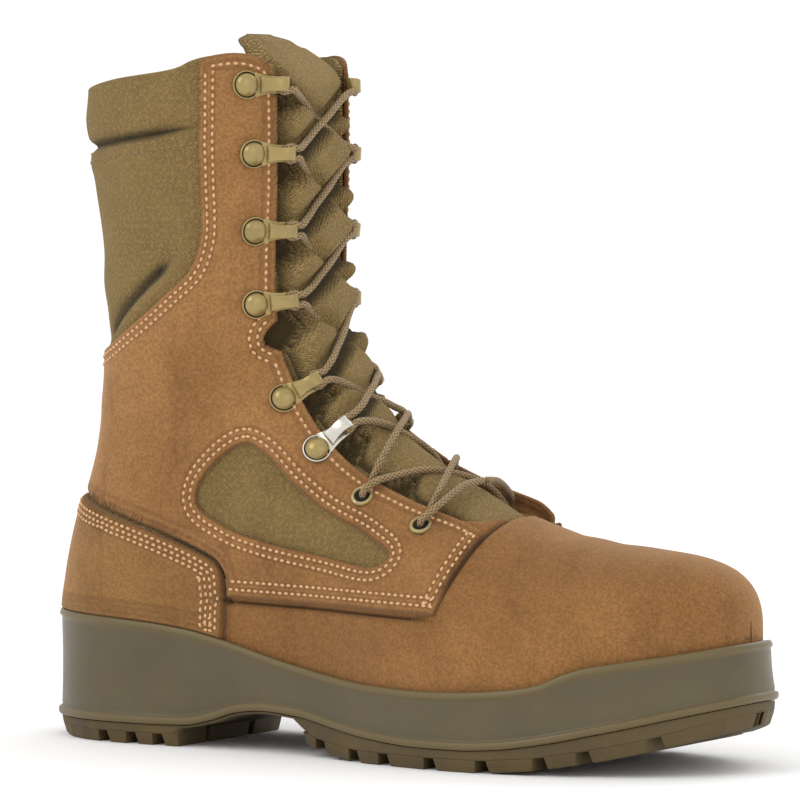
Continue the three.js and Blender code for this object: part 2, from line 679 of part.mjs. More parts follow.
// The upper: a hollow shell, open at the collar, the throat and underneath, with a padded collar.
const collarBand = lastSolid(collarPadding, pastCollar).intersect(
  sidePrism([...smooth(collarSeam, 8), ...sidePoints([[0.272, 1.2], [-0.1, 1.2]])]),
);
const soleOpening = solidFromLoops([
  ring(-weltOverhang - wall - clearance, (x) => bedHeight(x) - tuck, toeSetback),
  ring(-weltOverhang - wall - clearance, (x) => bedHeight(x) + insoleThickness + 2 * looseFit, toeSetback),
], 1);
const upper = lastSolid(0, pastCollar)
  .add(collarBand)
  .subtract(lastSolid(-wall, pastShell))
  .subtract(soleOpening)
  .subtract(overCollar)
  .subtract(upperThroat)
  .subtract(notch)
  .subtract(holeCut);
addPiece("upper", upper, finishes.suede);

// The suede quarters with their facings, laid on the upper up to the heel counter.
const band = (inside, outside) => lastSolid(outside, pastCollar).subtract(lastSolid(inside, pastShell));
const counterLine = (margin) => [
  ...smooth(counterTop, 16).map((p) => new THREE.Vector2(p.x + margin, p.y + margin)),
  ...sidePoints([[-0.1, 0.1]]),
];
const aboveRim = (margin) => {
  const line = [];
  for (let x = -20; x <= soleLength + 20; x += 8) line.push(new THREE.Vector2(x, rimHeight(x) + margin));
  return sidePrism([...line, new THREE.Vector2(soleLength + 20, 400), new THREE.Vector2(-20, 400)]);
};
const quarterLine = [
  ...smooth(quarterRear, 22),
  ...sidePoints([[0.5, 1.1], [0.69, 0.6]]),
  ...smooth(quarterFront, 6),
  ...sidePoints(quarterLow),
  ...sidePoints([[0.2, 0.1], [-0.1, 0.1]]),
];
const quarterBand = band(clearance, overlayOut)
  .intersect(sidePrism(quarterLine))
  .intersect(aboveRim(clearance))
  .subtract(sidePrism(counterLine(clearance)))
  .subtract(sidePrism(smooth(windowLine, 26, true)))
  .subtract(overCollar)
  .subtract(quarterThroat)
  .subtract(notch)
  .subtract(holeCut);
const halfBox = (side) => sidePrism(
  [[-50, -50], [400, -50], [400, 400], [-50, 400]].map(([x, z]) => new THREE.Vector2(x, z)),
  side < 0 ? -farSide : clearance / 2,
  side < 0 ? -clearance / 2 : farSide,
);
for (const [sideName, side] of sides) {
  addPiece(`quarter_${sideName}`, quarterBand.intersect(halfBox(side)), finishes.suede);
}
const counter = band(clearance, clearance + counterThickness)
  .intersect(sidePrism(counterLine(0)))
  .intersect(aboveRim(clearance));
addPiece("counter", counter, finishes.suede);

// The tongue: a strap inside the upper with a pad that fills the throat, leaning back at its top.
const tongueIn = wall + looseFit + clearance;
const padOut = -0.8; // the pad's face, just below the upper's own surface
const padShare = (throatHalfWidth - tongueMargin) / tongueHalfWidth;
const tongueOffs = [0, 0.3 * padShare, 0.65 * padShare, padShare, padShare + 0.04, 0.88, 1];
const innerShare = 1 - tongueThickness / tongueHalfWidth;
const mirroredOffs = [...tongueOffs.slice(1).reverse().map((off) => -off), ...tongueOffs];
const tongue = solidFromLoops(tongueRows.map((row) => {
  const place = (off, grow) => {
    const p = facingPoint(row.at, off * row.half * tongueHalfWidth, grow);
    return new THREE.Vector3(p.x - row.back * tongueLean, p.y, p.z + row.rise * tongueRise);
  };
  const padded = (off) => row.at > throatStart && Math.abs(off) <= padShare;
  const outer = mirroredOffs.map((off) => place(off, padded(off) ? padOut : -tongueIn));
  const inner = mirroredOffs.map((off) => place(off * innerShare, -tongueIn - tongueThickness)).reverse();
  return [...outer, ...inner];
}));
addPiece("tongue", tongue, finishes.cloth);

// The insole, inside the upper's wall on the midsole's bed.
const insoleGrow = -weltOverhang - wall - 2 * looseFit;
const insole = solidFromLoops([
  ring(insoleGrow, (x) => bedHeight(x) + 2 * clearance, toeSetback),
  ring(insoleGrow, (x) => bedHeight(x) + 2 * clearance + insoleThickness, toeSetback),
], 1);
addPiece("insole", insole, finishes.insole);

// The midsole: a bead along its lower edge, a side wall, a lip and a bed that the upper stands in.
const midsole = solidFromLoops([
  ring(-beadWidth, (x) => beadHeight(x)),
  ring(0, (x) => beadHeight(x) + 0.8),
  ring(0, (x) => beadHeight(x) + 2.6),
  ring(-beadWidth, (x) => beadHeight(x) + 3.6),
  ring(-beadWidth * 0.8, (x) => rimHeight(x) - lipHeight - 0.6, toeSetback * 0.8),
  ring(-beadWidth * 0.3, (x) => rimHeight(x) - lipHeight, toeSetback * 0.9),
  ring(-beadWidth, (x) => rimHeight(x), toeSetback),
  ring(-weltOverhang + looseFit, (x) => rimHeight(x), toeSetback),
  ring(-weltOverhang + looseFit, (x) => bedHeight(x), toeSetback),
], 1);
addPiece("midsole", midsole, finishes.midsole);

// The outsole: the outline's wall within a side profile that carries the heel, the arch and the lugs.
const treadHeight = column(treadRows, "along", "height");
const treadLine = [];
for (let i = treadRows.length - 1; i >= 0; i -= 1) {
  treadLine.push(new THREE.Vector2(treadRows[i].along * soleLength, treadRows[i].height * heelHeight));
}
const beadLine = [];
for (let k = 0; k <= outlineSteps; k += 1) {
  const x = outlinePlace(k, -beadWidth);
  beadLine.push(new THREE.Vector2(x, beadHeight(x) - clearance));
}
const outsoleWall = solidFromLoops([
  ring(-treadMargin, () => -5),
  ring(-treadMargin * 0.6, (x) => treadHeight(x / soleLength) * heelHeight + 1),
  ring(-beadWidth, (x) => treadHeight(x / soleLength) * heelHeight + grooveDepth),
  ring(-beadWidth, (x) => beadHeight(x) + 2),
], 1);
const grooves = grooveRows.map((along) => {
  const x = along * soleLength;
  const z = treadHeight(along) * heelHeight;
  const half = grooveWidth / 2;
  const corners = [[x - half, z - 8], [x + half, z - 8], [x + half, z], [x + half * 0.6, z + grooveDepth],
    [x - half * 0.6, z + grooveDepth], [x - half, z]];
  return sidePrism(corners.map(([cx, cz]) => new THREE.Vector2(cx, cz)));
});
const outsole = outsoleWall
  .intersect(sidePrism([...beadLine, ...treadLine]))
  .subtract(wasm.Manifold.union(grooves));
addPiece("outsole", outsole, finishes.rubber);

fittings.forEach(([name, solid, finish]) => addPiece(name, solid, finish));

// A round bar through points, with flat ends.
function laceSolid(points) {
  const sidesOfLace = 6;
  const curve = new THREE.CatmullRomCurve3(points, false, "centripetal");
  const section = new THREE.Shape();
  for (let k = 0; k < sidesOfLace; k += 1) {
    const turn = (2 * Math.PI * k) / sidesOfLace;
    section[k ? "lineTo" : "moveTo"](laceRadius * Math.cos(turn), laceRadius * Math.sin(turn));
  }
  section.closePath();
  const geometry = new THREE.ExtrudeGeometry(section, { steps: 6, bevelEnabled: false, extrudePath: curve });
  return solidFromGeometry(geometry);
}

const laceLow = 1.5; // height of the lace's middle over the last, midway between the facings
const laceHigh = skinOut + laceRadius + 1; // and near the hooks and eyelets
const laceGap = 0.4; // from a strand's end to the hook or eyelet it belongs to, and between strands
const laceSpread = laceRadius + laceGap / 2; // a strand's end lies this far off the middle of its hook

// Where a strand ends: before a hook's fold or beside an eyelet, above or below its middle.
function strandEnd(row, side, up) {
  const isHook = row.kind === "hook";
  const reach = (isHook ? foldReach : eyeletRadius) + 3 * laceGap;
  const height = isHook ? hookRise / 2 : laceRadius + 5 * laceGap;
  return new THREE.Vector3(reach, -side * up, height).applyMatrix4(placeOn(row, side));
}

function strand(from, to, fromSide, fromUp, toUp) {
  const start = strandEnd(from, fromSide, fromUp);
  const end = strandEnd(to, -fromSide, toUp);
  const points = [start];
  for (const t of [0.25, 0.5, 0.75]) {
    const high = (2 * t - 1) ** 2;
    points.push(facingPoint(mix(from.at, to.at, t), mix(start.y, end.y, t), mix(laceLow, laceHigh, high)));
  }
  points.push(end);
  return laceSolid(points);
}
for (let i = 0; i < fasteningRows.length - 1; i += 1) {
  const [high, low] = [fasteningRows[i], fasteningRows[i + 1]];
  const crossing = strand(low, high, -1, laceSpread, -laceSpread).add(strand(low, high, 1, laceSpread, -laceSpread));
  addPiece(`lace_crossing_${i + 1}`, crossing, finishes.lace);
}
const lowest = fasteningRows[fasteningRows.length - 1];
addPiece("lace_bar", strand(lowest, lowest, -1, -laceSpread, -laceSpread), finishes.lace);

export default boot;
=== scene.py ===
"""Looks of a lace-up combat boot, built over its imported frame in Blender.

The boot is drawn again on the same last as the solids: suede panels over a cloth shaft, a padded tongue,
a moulded sole with lugs, speed hooks, eyelets, a braided lace and rows of stitches. Lengths in the tables
are millimetres or shares of the boot's sizes, with the back of the sole at x = 0 and the outer side at -Y.
"""
import logging
import math
from dataclasses import dataclass, field
from enum import Enum

import bmesh
import bpy
import numpy as np
from mathutils import Matrix, Vector
from mathutils.geometry import delaunay_2d_cdt
from mathutils.kdtree import KDTree


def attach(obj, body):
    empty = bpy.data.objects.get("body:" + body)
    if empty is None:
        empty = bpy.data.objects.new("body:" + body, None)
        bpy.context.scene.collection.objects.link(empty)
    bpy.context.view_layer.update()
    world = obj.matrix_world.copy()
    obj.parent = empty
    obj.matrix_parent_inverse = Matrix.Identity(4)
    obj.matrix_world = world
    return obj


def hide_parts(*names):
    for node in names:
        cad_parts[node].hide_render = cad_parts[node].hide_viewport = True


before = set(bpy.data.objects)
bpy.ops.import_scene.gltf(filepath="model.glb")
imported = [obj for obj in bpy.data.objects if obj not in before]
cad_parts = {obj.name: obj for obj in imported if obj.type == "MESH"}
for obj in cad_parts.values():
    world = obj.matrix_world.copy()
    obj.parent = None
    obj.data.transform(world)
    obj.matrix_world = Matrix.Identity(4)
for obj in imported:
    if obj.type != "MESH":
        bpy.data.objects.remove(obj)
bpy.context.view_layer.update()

LOG = logging.getLogger("boot")
MM = 0.001
Array = np.ndarray
Pairs = list[tuple[float, float]]

PLAN_HALF: Pairs = [
    (0, 0.71), (0.15, 0.72), (0.3, 0.69), (0.42, 0.71), (0.55, 0.87), (0.68, 0.99), (0.78, 1.0),
    (0.9, 0.97), (1.0, 0.95)
]
PLAN_SHIFT: Pairs = [
    (0, 0), (0.15, 0), (0.3, -0.01), (0.42, -0.03), (0.55, -0.035), (0.68, 0), (0.78, 0.05),
    (0.9, 0.09), (1.0, 0.11)
]
RIM: Pairs = [
    (0, 1.0), (0.1, 0.985), (0.19, 0.955), (0.25, 0.915), (0.29, 0.87), (0.33, 0.815),
    (0.37, 0.755), (0.42, 0.69), (0.49, 0.625), (0.55, 0.595), (0.62, 0.585), (0.68, 0.595),
    (0.735, 0.62), (0.785, 0.67), (0.815, 0.75), (0.84, 0.8), (0.88, 0.845), (0.94, 0.905),
    (1.0, 0.975)
]
BEAD: Pairs = [
    (0, 0.165), (0.19, 0.165), (0.25, 0.175), (0.29, 0.225), (0.33, 0.3), (0.37, 0.325),
    (0.42, 0.305), (0.49, 0.235), (0.55, 0.19), (0.62, 0.165), (0.68, 0.165), (0.735, 0.185),
    (0.785, 0.23), (0.815, 0.265), (0.84, 0.3), (0.88, 0.355), (0.94, 0.445), (1.0, 0.535)
]
TREAD: Pairs = [
    (0, 0.1), (0.02, 0.03), (0.045, 0), (0.237, 0), (0.243, 0.08), (0.29, 0.15), (0.34, 0.225),
    (0.39, 0.235), (0.425, 0.205), (0.432, 0.1), (0.48, 0.03), (0.54, 0), (0.69, 0), (0.76, 0.025),
    (0.83, 0.09), (0.9, 0.18), (0.96, 0.29), (1.0, 0.37)
]
CREST: Pairs = [
    (1.0, 0.223), (0.9965, 0.249), (0.984, 0.274), (0.956, 0.298), (0.9165, 0.312), (0.863, 0.32),
    (0.804, 0.328), (0.747, 0.341), (0.69, 0.362), (0.634, 0.4), (0.577, 0.435), (0.523, 0.473),
    (0.479, 0.515), (0.4425, 0.562), (0.416, 0.612), (0.3985, 0.666), (0.3915, 0.72),
    (0.3875, 0.775), (0.3855, 0.83), (0.3845, 0.88), (0.3835, 0.925), (0.3835, 0.965),
    (0.3835, 1.0), (0.3835, 1.03), (0.3835, 1.06)
]
SHAFT_BACK: Pairs = [
    (0, 0), (0.19, 0), (0.25, 0.007), (0.3, 0.016), (0.35, 0.028), (0.4, 0.043), (0.45, 0.055),
    (0.5, 0.062), (0.57, 0.067), (0.64, 0.068), (0.71, 0.066), (0.78, 0.06), (0.86, 0.05),
    (0.93, 0.044), (1.0, 0.042), (1.1, 0.042)
]
SHAFT_HALF: Pairs = [
    (0, 0.9), (0.19, 0.88), (0.25, 0.87), (0.3, 0.86), (0.35, 0.85), (0.4, 0.845), (0.45, 0.85),
    (0.5, 0.86), (0.57, 0.88), (0.64, 0.9), (0.71, 0.92), (0.78, 0.95), (0.86, 0.98), (0.93, 1.0),
    (1.0, 1.0), (1.1, 1.0)
]
SECTION_BASE = [
    0, 0.007, 0.023, 0.052, 0.092, 0.145, 0.204, 0.262, 0.32, 0.385, 0.457, 0.535, 0.62, 0.715,
    0.825, 0.94, 1.0, 1.12, 1.25, 1.38, 1.52, 1.65, 1.78, 1.89, 2.0
]
SECTION_FLAT = [
    0.5, 0.48, 0.42, 0.34, 0.26, 0.2, 0.17, 0.15, 0.15, 0.16, 0.18, 0.2, 0.24, 0.3, 0.37, 0.44,
    0.49, 0.51, 0.51, 0.51, 0.5, 0.5, 0.5, 0.5, 0.5
]
SECTION_ROUND = [
    2.5, 2.5, 2.45, 2.4, 2.3, 2.2, 2.1, 2.05, 2.0, 2.0, 2.05, 2.1, 2.15, 2.2, 2.3, 2.4, 2.5, 2.5,
    2.5, 2.5, 2.5, 2.5, 2.5, 2.5, 2.5
]
HOOKS: Pairs = [
    (22.02, 1.48), (19.4, 1.42), (17.16, 1.36), (15.28, 1.3), (13.2, 1.22), (11.94, 1.2)
]
EYELETS: Pairs = [(10.6, 1.26), (9.18, 1.32)]

COLLAR_LINE: Pairs = [
    (-0.1, 0.99), (0.03, 0.992), (0.15, 1.012), (0.245, 1.027), (0.268, 1.038), (0.3, 1.046),
    (0.335, 1.044), (0.36, 1.03), (0.39, 1.0), (0.43, 0.97)
]
COLLAR_SEAM: Pairs = [(-0.1, 0.895), (0.03, 0.895), (0.15, 0.91), (0.31, 0.936)]
QUARTER_REAR: Pairs = [
    (-0.1, 0.59), (0.06, 0.59), (0.12, 0.605), (0.18, 0.645), (0.23, 0.69), (0.263, 0.725),
    (0.278, 0.77), (0.28, 0.85), (0.28, 0.95), (0.28, 1.1)
]
QUARTER_TOP: Pairs = [
    (0.2, 1.01), (0.27, 1.032), (0.3, 1.046), (0.335, 1.047), (0.353, 1.034), (0.3605, 1.0),
    (0.366, 0.95), (0.372, 0.9)
]
QUARTER_FRONT: Pairs = [
    (0.71, 0.47), (0.684, 0.4), (0.668, 0.345), (0.657, 0.3), (0.637, 0.226), (0.63, 0.19)
]
QUARTER_LOW: Pairs = [(0.7, 0.222), (0.56, 0.226), (0.4, 0.229), (0.25, 0.232)]
COUNTER_TOP: Pairs = [
    (-0.1, 0.39), (0.02, 0.386), (0.08, 0.366), (0.175, 0.335), (0.28, 0.29), (0.3, 0.275),
    (0.306, 0.25), (0.306, 0.1)
]
WINDOW: Pairs = [
    (0.335, 0.462), (0.31, 0.45), (0.27, 0.4), (0.268, 0.368), (0.31, 0.336), (0.36, 0.318),
    (0.46, 0.298), (0.54, 0.288), (0.555, 0.303), (0.52, 0.33), (0.45, 0.365), (0.4, 0.405),
    (0.36, 0.448)
]
FLEX_NOTCH: Pairs = [(0.5, 0.735), (0.371, 0.659), (0.3477, 0.617), (0.371, 0.598), (0.5, 0.535)]
GUIDE_DROPS = (-0.0085, -0.0042, 0, 0.0042, 0.0085)
GUIDE_PITCH = 1.6
SPACING = 1.5
THROAT_END = 8.1
FLAT_SCALE = np.array([22.0, 95.0])
EDGE_SHARES = (0.14, 0.42, 1.0)
BASE_SEAM: Pairs = [
    (-0.1, 0.262), (0.25, 0.262), (0.45, 0.262), (0.56, 0.27), (0.592, 0.31), (0.604, 0.38),
    (0.615, 0.47)
]


class Side(Enum):
    """The two sides of the boot, by the sign of y."""

    LATERAL = -1
    MEDIAL = 1


class Curve:
    """A smooth reading of a table of pairs."""

    def __init__(self, rows: Pairs) -> None:
        """Samples the table.

        Args:
            rows: places and values, in order of place.
        """
        xs = np.array([row[0] for row in rows], float)
        ys = np.array([row[1] for row in rows], float)
        steps = np.diff(ys) / np.diff(xs)
        product = steps[:-1] * steps[1:]
        total = steps[:-1] + steps[1:]
        inner = np.where(product > 0, 2 * product / np.where(product > 0, total, 1), 0)
        slopes = np.concatenate([[steps[0]], inner, [steps[-1]]])
        self.places = np.linspace(xs[0], xs[-1], 1600)
        i = np.clip(np.searchsorted(xs, self.places, side="right") - 1, 0, len(xs) - 2)
        width = xs[i + 1] - xs[i]
        t = (self.places - xs[i]) / width
        rest = 1 - t
        self.values = (ys[i] * (1 + 2 * t) * rest**2 + ys[i + 1] * t**2 * (3 - 2 * t)
                       + slopes[i] * width * t * rest**2 - slopes[i + 1] * width * t**2 * rest)

    def __call__(self, x: Array | float) -> Array:
        """Reads the curve at x."""
        return np.interp(x, self.places, self.values)


def unit(rows: Array) -> Array:
    """Directions of length one, a row each."""
    return rows / (np.linalg.norm(rows, axis=1, keepdims=True) + 1e-9)


def walk(line: Array) -> Array:
    """Distance along a line from its start to each of its points."""
    return np.concatenate([[0], np.cumsum(np.linalg.norm(np.diff(line, axis=0), axis=1))])


def read_line(marks: Array, walked: Array, line: Array) -> Array:
    """A line's points at distances from its start."""
    return np.stack([np.interp(marks, walked, line[:, k]) for k in range(line.shape[1])], -1)


def nearest(spots: Array, targets: Array) -> Array:
    """Distance from each spot to the nearest target."""
    tree = KDTree(len(targets))
    for i, target in enumerate(targets):
        tree.insert(target, i)
    tree.balance()
    return np.array([tree.find(spot)[2] for spot in spots])


def numbered(values: list[float]) -> Pairs:
    """Pairs of each value with its number."""
    return [(float(i), value) for i, value in enumerate(values)]


def mix(a: Array, b: Array, t: Array) -> Array:
    """A value between a and b."""
    return a + (b - a) * t


def ramp(t: Array) -> Array:
    """A smooth step from 0 to 1."""
    u = np.clip(t, 0, 1)
    return u * u * (3 - 2 * u)


def round_end(share: Array, power: Array | float) -> Array:
    """A superellipse's height over its flat end."""
    t = 1 - np.clip(share, 0, 1)
    return (1 - t**power) ** (1 / power)


def smooth_line(rows: Pairs, closed: bool = False, steps: int = 12) -> Array:
    """A centripetal spline through points.

    Args:
        rows: the points.
        closed: whether the line runs round.
        steps: points to a span.

    Returns:
        The line's points, one a row.
    """
    points = np.array(rows, float)
    if closed:
        ring = np.vstack([points[-1], points, points[0], points[1]])
    else:
        ring = np.vstack([2 * points[0] - points[1], points, 2 * points[-1] - points[-2]])
    line = []
    for i in range(len(ring) - 3):
        p0, p1, p2, p3 = ring[i : i + 4]
        k1 = np.linalg.norm(p1 - p0) ** 0.5
        k2 = k1 + np.linalg.norm(p2 - p1) ** 0.5
        k3 = k2 + np.linalg.norm(p3 - p2) ** 0.5
        t = np.linspace(k1, k2, steps, endpoint=False)[:, None]
        a1 = (k1 - t) / k1 * p0 + t / k1 * p1
        a2 = (k2 - t) / (k2 - k1) * p1 + (t - k1) / (k2 - k1) * p2
        a3 = (k3 - t) / (k3 - k2) * p2 + (t - k2) / (k3 - k2) * p3
        b1 = (k2 - t) / k2 * a1 + t / k2 * a2
        b2 = (k3 - t) / (k3 - k1) * a2 + (t - k1) / (k3 - k1) * a3
        line.append((k2 - t) / (k2 - k1) * b1 + (t - k1) / (k2 - k1) * b2)
    if not closed:
        line.append(points[-1:])
    return np.vstack(line)


@dataclass
class Last:
    """The form that the upper is drawn on, the same as in the solids."""

    length: float = 302
    ball: float = 108
    heel: float = 49.5
    collar: float = 251
    shaft: float = 82
    toe_round: float = 90
    heel_round: float = 44
    overhang: float = 3.6
    toe_setback: float = 2.2
    tuck: float = 8
    loose: float = 0.8
    throat: float = 23
    power: float = 2.25
    ankle_low: float = 0.2
    ankle_high: float = 0.55
    sections: int = 24
    shift_across: float = field(init=False, default=0)

    def __post_init__(self) -> None:
        """Reads the tables and finds the middle of the sole's width."""
        self.toe = self.length - self.overhang - self.toe_setback
        self.plan_half, self.plan_shift = Curve(PLAN_HALF), Curve(PLAN_SHIFT)
        self.rim_share, self.bead_share, self.tread_share = Curve(RIM), Curve(BEAD), Curve(TREAD)
        self.back_share, self.half_share = Curve(SHAFT_BACK), Curve(SHAFT_HALF)
        self.crest_x = Curve(numbered([row[0] for row in CREST]))
        self.crest_z = Curve(numbered([row[1] for row in CREST]))
        self.section_base = Curve(numbered(SECTION_BASE))
        self.section_flat = Curve(numbered(SECTION_FLAT))
        self.section_round = Curve(numbered(SECTION_ROUND))
        x = np.linspace(0, self.length, 400)
        low = self.middle(x, 0 * x) - self.sole_half(x, 0)
        high = self.middle(x, 0 * x) + self.sole_half(x, 0)
        self.shift_across = (low.min() + high.max()) / 2

    def rim(self, x: Array) -> Array:
        """Height of the midsole's upper edge."""
        return self.rim_share(x / self.length) * self.heel

    def bead(self, x: Array) -> Array:
        """Height of the midsole's lower edge."""
        return self.bead_share(x / self.length) * self.heel

    def tread(self, x: Array) -> Array:
        """Height of the underside."""
        return self.tread_share(x / self.length) * self.heel

    def back(self, z: Array) -> Array:
        """Place of the upper's back line."""
        return self.overhang + self.back_share(z / self.collar) * self.length

    def middle(self, x: Array, z: Array) -> Array:
        """Sideways shift of the last's middle."""
        fade = ramp((z / self.collar - self.ankle_low) / (self.ankle_high - self.ankle_low))
        return self.plan_shift(x / self.length) * (1 - fade) * self.ball / 2

    def half(self, x: Array, z: Array, grow: Array) -> Array:
        """Half-width of the last at a place of its side view.

        Args:
            x: along the sole.
            z: height.
            grow: distance out of the upper's surface.

        Returns:
            The half-width.
        """
        share, height = x / self.length, z / self.collar
        foot = self.plan_half(share) * self.ball / 2 - self.overhang
        shaft = self.half_share(height) * self.shaft / 2
        up = ramp((height - self.ankle_low) / (self.ankle_high - self.ankle_low))
        up = up * ramp((0.75 - share) / 0.2)
        return ((mix(foot, shaft, up) + grow)
                * round_end((x - self.back(z) + grow) / (self.heel_round + grow), self.power)
                * round_end((self.toe + grow - x) / (self.toe_round + grow), self.power))

    def sole_half(self, x: Array, grow: float) -> Array:
        """Half-width of the sole in plan."""
        half = self.plan_half(x / self.length) * self.ball / 2
        wider = self.overhang + grow
        return ((half + grow) * round_end((x + grow) / (self.heel_round + wider), self.power)
                * round_end((self.length + grow - x) / (self.toe_round + wider), self.power))

    def crest(self, at: Array, grow: Array) -> tuple[Array, Array]:
        """A point of the crest in side view, moved out by grow."""
        low, high = np.clip(at - 0.05, 0, self.sections), np.clip(at + 0.05, 0, self.sections)
        dx = (self.crest_x(high) - self.crest_x(low)) * self.toe
        dz = (self.crest_z(high) - self.crest_z(low)) * self.collar
        size = np.hypot(dx, dz)
        x, z = self.crest_x(at) * self.toe, self.crest_z(at) * self.collar
        return x + grow * dz / size, z - grow * dx / size

    def base(self, base: Array, grow: Array) -> tuple[Array, Array]:
        """A point of the base line, under the foot and then up the back."""
        heel = self.overhang - grow
        under_x = mix(self.toe + grow, heel, np.minimum(base, 1))
        under_z = self.rim(under_x) - self.tuck + self.loose
        back_z = mix(self.rim(heel) - self.tuck + self.loose, self.collar, base - 1)
        rear = base > 1
        return np.where(rear, self.back(back_z) - grow, under_x), np.where(rear, back_z, under_z)

    def point(self, at: Array, step: Array, side: int, grow: Array | float) -> Array:
        """Points of the last.

        Args:
            at: place counted in sections, from the toe to the collar.
            step: 0 at the base line to 1 at the crest.
            side: -1 for the outer side, 1 for the inner.
            grow: distance out of the upper's surface.

        Returns:
            Points in millimetres, one a row.
        """
        bx, bz = self.base(self.section_base(at), grow)
        fx, fz = self.crest(at, grow)
        share = (1 - np.cos(np.pi * np.clip(step, 0, 1))) / 2
        x, z = mix(bx, fx, share), mix(bz, fz, share)
        front = round_end((1 - share) / (1 - self.section_flat(at)), self.section_round(at))
        return np.stack([x, self.middle(x, z) + side * self.half(x, z, grow) * front, z], -1)

    def spots(self, places: Array, side: int, grow: Array | float) -> Array:
        """Points of the last at rows of section and step."""
        return self.point(places[:, 0], places[:, 1], side, grow)

    def locate(self, x: Array, z: Array, grow: float = 0) -> Array:
        """Finds the section and step of places in side view.

        Args:
            x: along the sole.
            z: height.
            grow: the layer that is looked at.

        Returns:
            Rows of section and step, which runs on below 0 and above 1 outside the last.
        """
        x, z = np.asarray(x, float), np.asarray(z, float)
        low, high = np.zeros_like(x), np.full_like(x, self.sections)
        for _ in range(24):
            at = (low + high) / 2
            bx, bz = self.base(self.section_base(at), grow)
            fx, fz = self.crest(at, grow)
            above = (fx - bx) * (z - bz) - (fz - bz) * (x - bx) > 0
            low, high = np.where(above, at, low), np.where(above, high, at)
        at = (low + high) / 2
        bx, bz = self.base(self.section_base(at), grow)
        fx, fz = self.crest(at, grow)
        share = ((x - bx) * (fx - bx) + (z - bz) * (fz - bz)) / ((fx - bx) ** 2 + (fz - bz) ** 2)
        step = np.arccos(1 - 2 * np.clip(share, 0, 1)) / np.pi
        return np.stack([at, np.where(share < 0, share, np.where(share > 1, share, step))], -1)

    def facing(self, at: Array, off: Array, grow: float = 0) -> Array:
        """Points beside the crest.

        Args:
            at: section whose crest point the row starts from.
            off: distance from the middle, negative on the outer side.
            grow: distance out of the upper's surface.

        Returns:
            Points in millimetres, one a row.
        """
        at, off = np.broadcast_arrays(np.asarray(at, float), np.asarray(off, float))
        side = np.where(off < 0, -1, 1)
        cx, cz = self.crest(at, grow)
        ox, oz = self.crest(at, grow + 1.0)
        low, high = np.zeros(at.shape), np.full(at.shape, 40.0)
        for _ in range(20):
            depth = (low + high) / 2
            x, z = cx - (ox - cx) * depth, cz - (oz - cz) * depth
            place = self.locate(x, z, grow)
            p = self.point(place[..., 0], place[..., 1], 1, grow)
            inside = p[..., 1] - self.middle(x, z) < np.abs(off)
            low, high = np.where(inside, depth, low), np.where(inside, high, depth)
        y = self.middle(p[..., 0], p[..., 2])
        p[..., 1] = y + side * (p[..., 1] - y)
        return p

    def rest(self, points: Array) -> Array:
        """Millimetres on the last to metres in the shared frame."""
        moved = np.array(points, float)
        moved[..., 0] -= self.length / 2
        moved[..., 1] -= self.shift_across
        return moved / 1000


LAST = Last()


@dataclass(frozen=True)
class Crease:
    """A soft trough or ridge along a line in side view, in shares of length and collar height."""

    line: tuple[tuple[float, float], ...]
    depth: float
    width: float

    def lift(self, x: Array, z: Array) -> Array:
        """How far the crease moves places of the side view, in millimetres."""
        points = np.array(self.line) * [LAST.length, LAST.collar]
        best = np.full(x.shape, np.inf)
        fade = np.ones(x.shape)
        count = len(points) - 1
        for i in range(count):
            a, b = points[i], points[i + 1]
            along = b - a
            t = np.clip(((x - a[0]) * along[0] + (z - a[1]) * along[1]) / (along @ along), 0, 1)
            gap = np.hypot(x - a[0] - t * along[0], z - a[1] - t * along[1])
            near = gap < best
            best = np.where(near, gap, best)
            place = (i + t) / count
            fade = np.where(near, ramp(place / 0.22) * ramp((1 - place) / 0.22), fade)
        return -self.depth * np.exp(-((best / self.width) ** 2)) * (0.15 + 0.85 * fade)


CREASES = [
    Crease(((-0.1, 0.9), (0.03, 0.9), (0.15, 0.918), (0.31, 0.944), ), 3.0, 1.8), Crease(((-0.1,
    0.94), (0.03, 0.94), (0.15, 0.957), (0.31, 0.985), ), -1.2, 7.5), Crease(((-0.1, 0.872),
    (0.03, 0.872), (0.15, 0.89), (0.31, 0.914), ), -0.7, 3.5), Crease(((0.09, 0.607), (0.14, 0.656),
    (0.19, 0.7), (0.245, 0.748), ), 2.6, 2.6), Crease(((0.03, 0.66), (0.1, 0.7), (0.17, 0.755), ),
    -1.3, 8.0), Crease(((0.13, 0.618), (0.18, 0.662), (0.23, 0.708), ), -0.8, 2.4), Crease(((0.31,
    0.56), (0.22, 0.53), (0.12, 0.52), ), 0.9, 4.0), Crease(((0.33, 0.52), (0.25, 0.49),
    (0.16, 0.47), ), 0.8, 4.0), Crease(((0.2, 0.62), (0.14, 0.56), (0.1, 0.48), ), -0.8, 8.0),
    Crease(((0.24, 0.2265), (0.4, 0.2235), (0.56, 0.2205), (0.66, 0.2175), ), 2.2, 1.1),
    Crease(((0.633, 0.222), (0.655, 0.3), (0.667, 0.345), (0.679, 0.385), ), 2.0, 1.1),
    Crease(((0.31, 0.12), (0.31, 0.26), (0.29, 0.29), (0.18, 0.342), (0.08, 0.374), (-0.05, 0.396),
    ), 1.4, 1.1), Crease(((0.72, 0.4), (0.74, 0.33), (0.73, 0.27), ), 0.6, 5.0), Crease(((0.78,
    0.37), (0.8, 0.31), (0.79, 0.26), ), 0.4, 5.0)
]


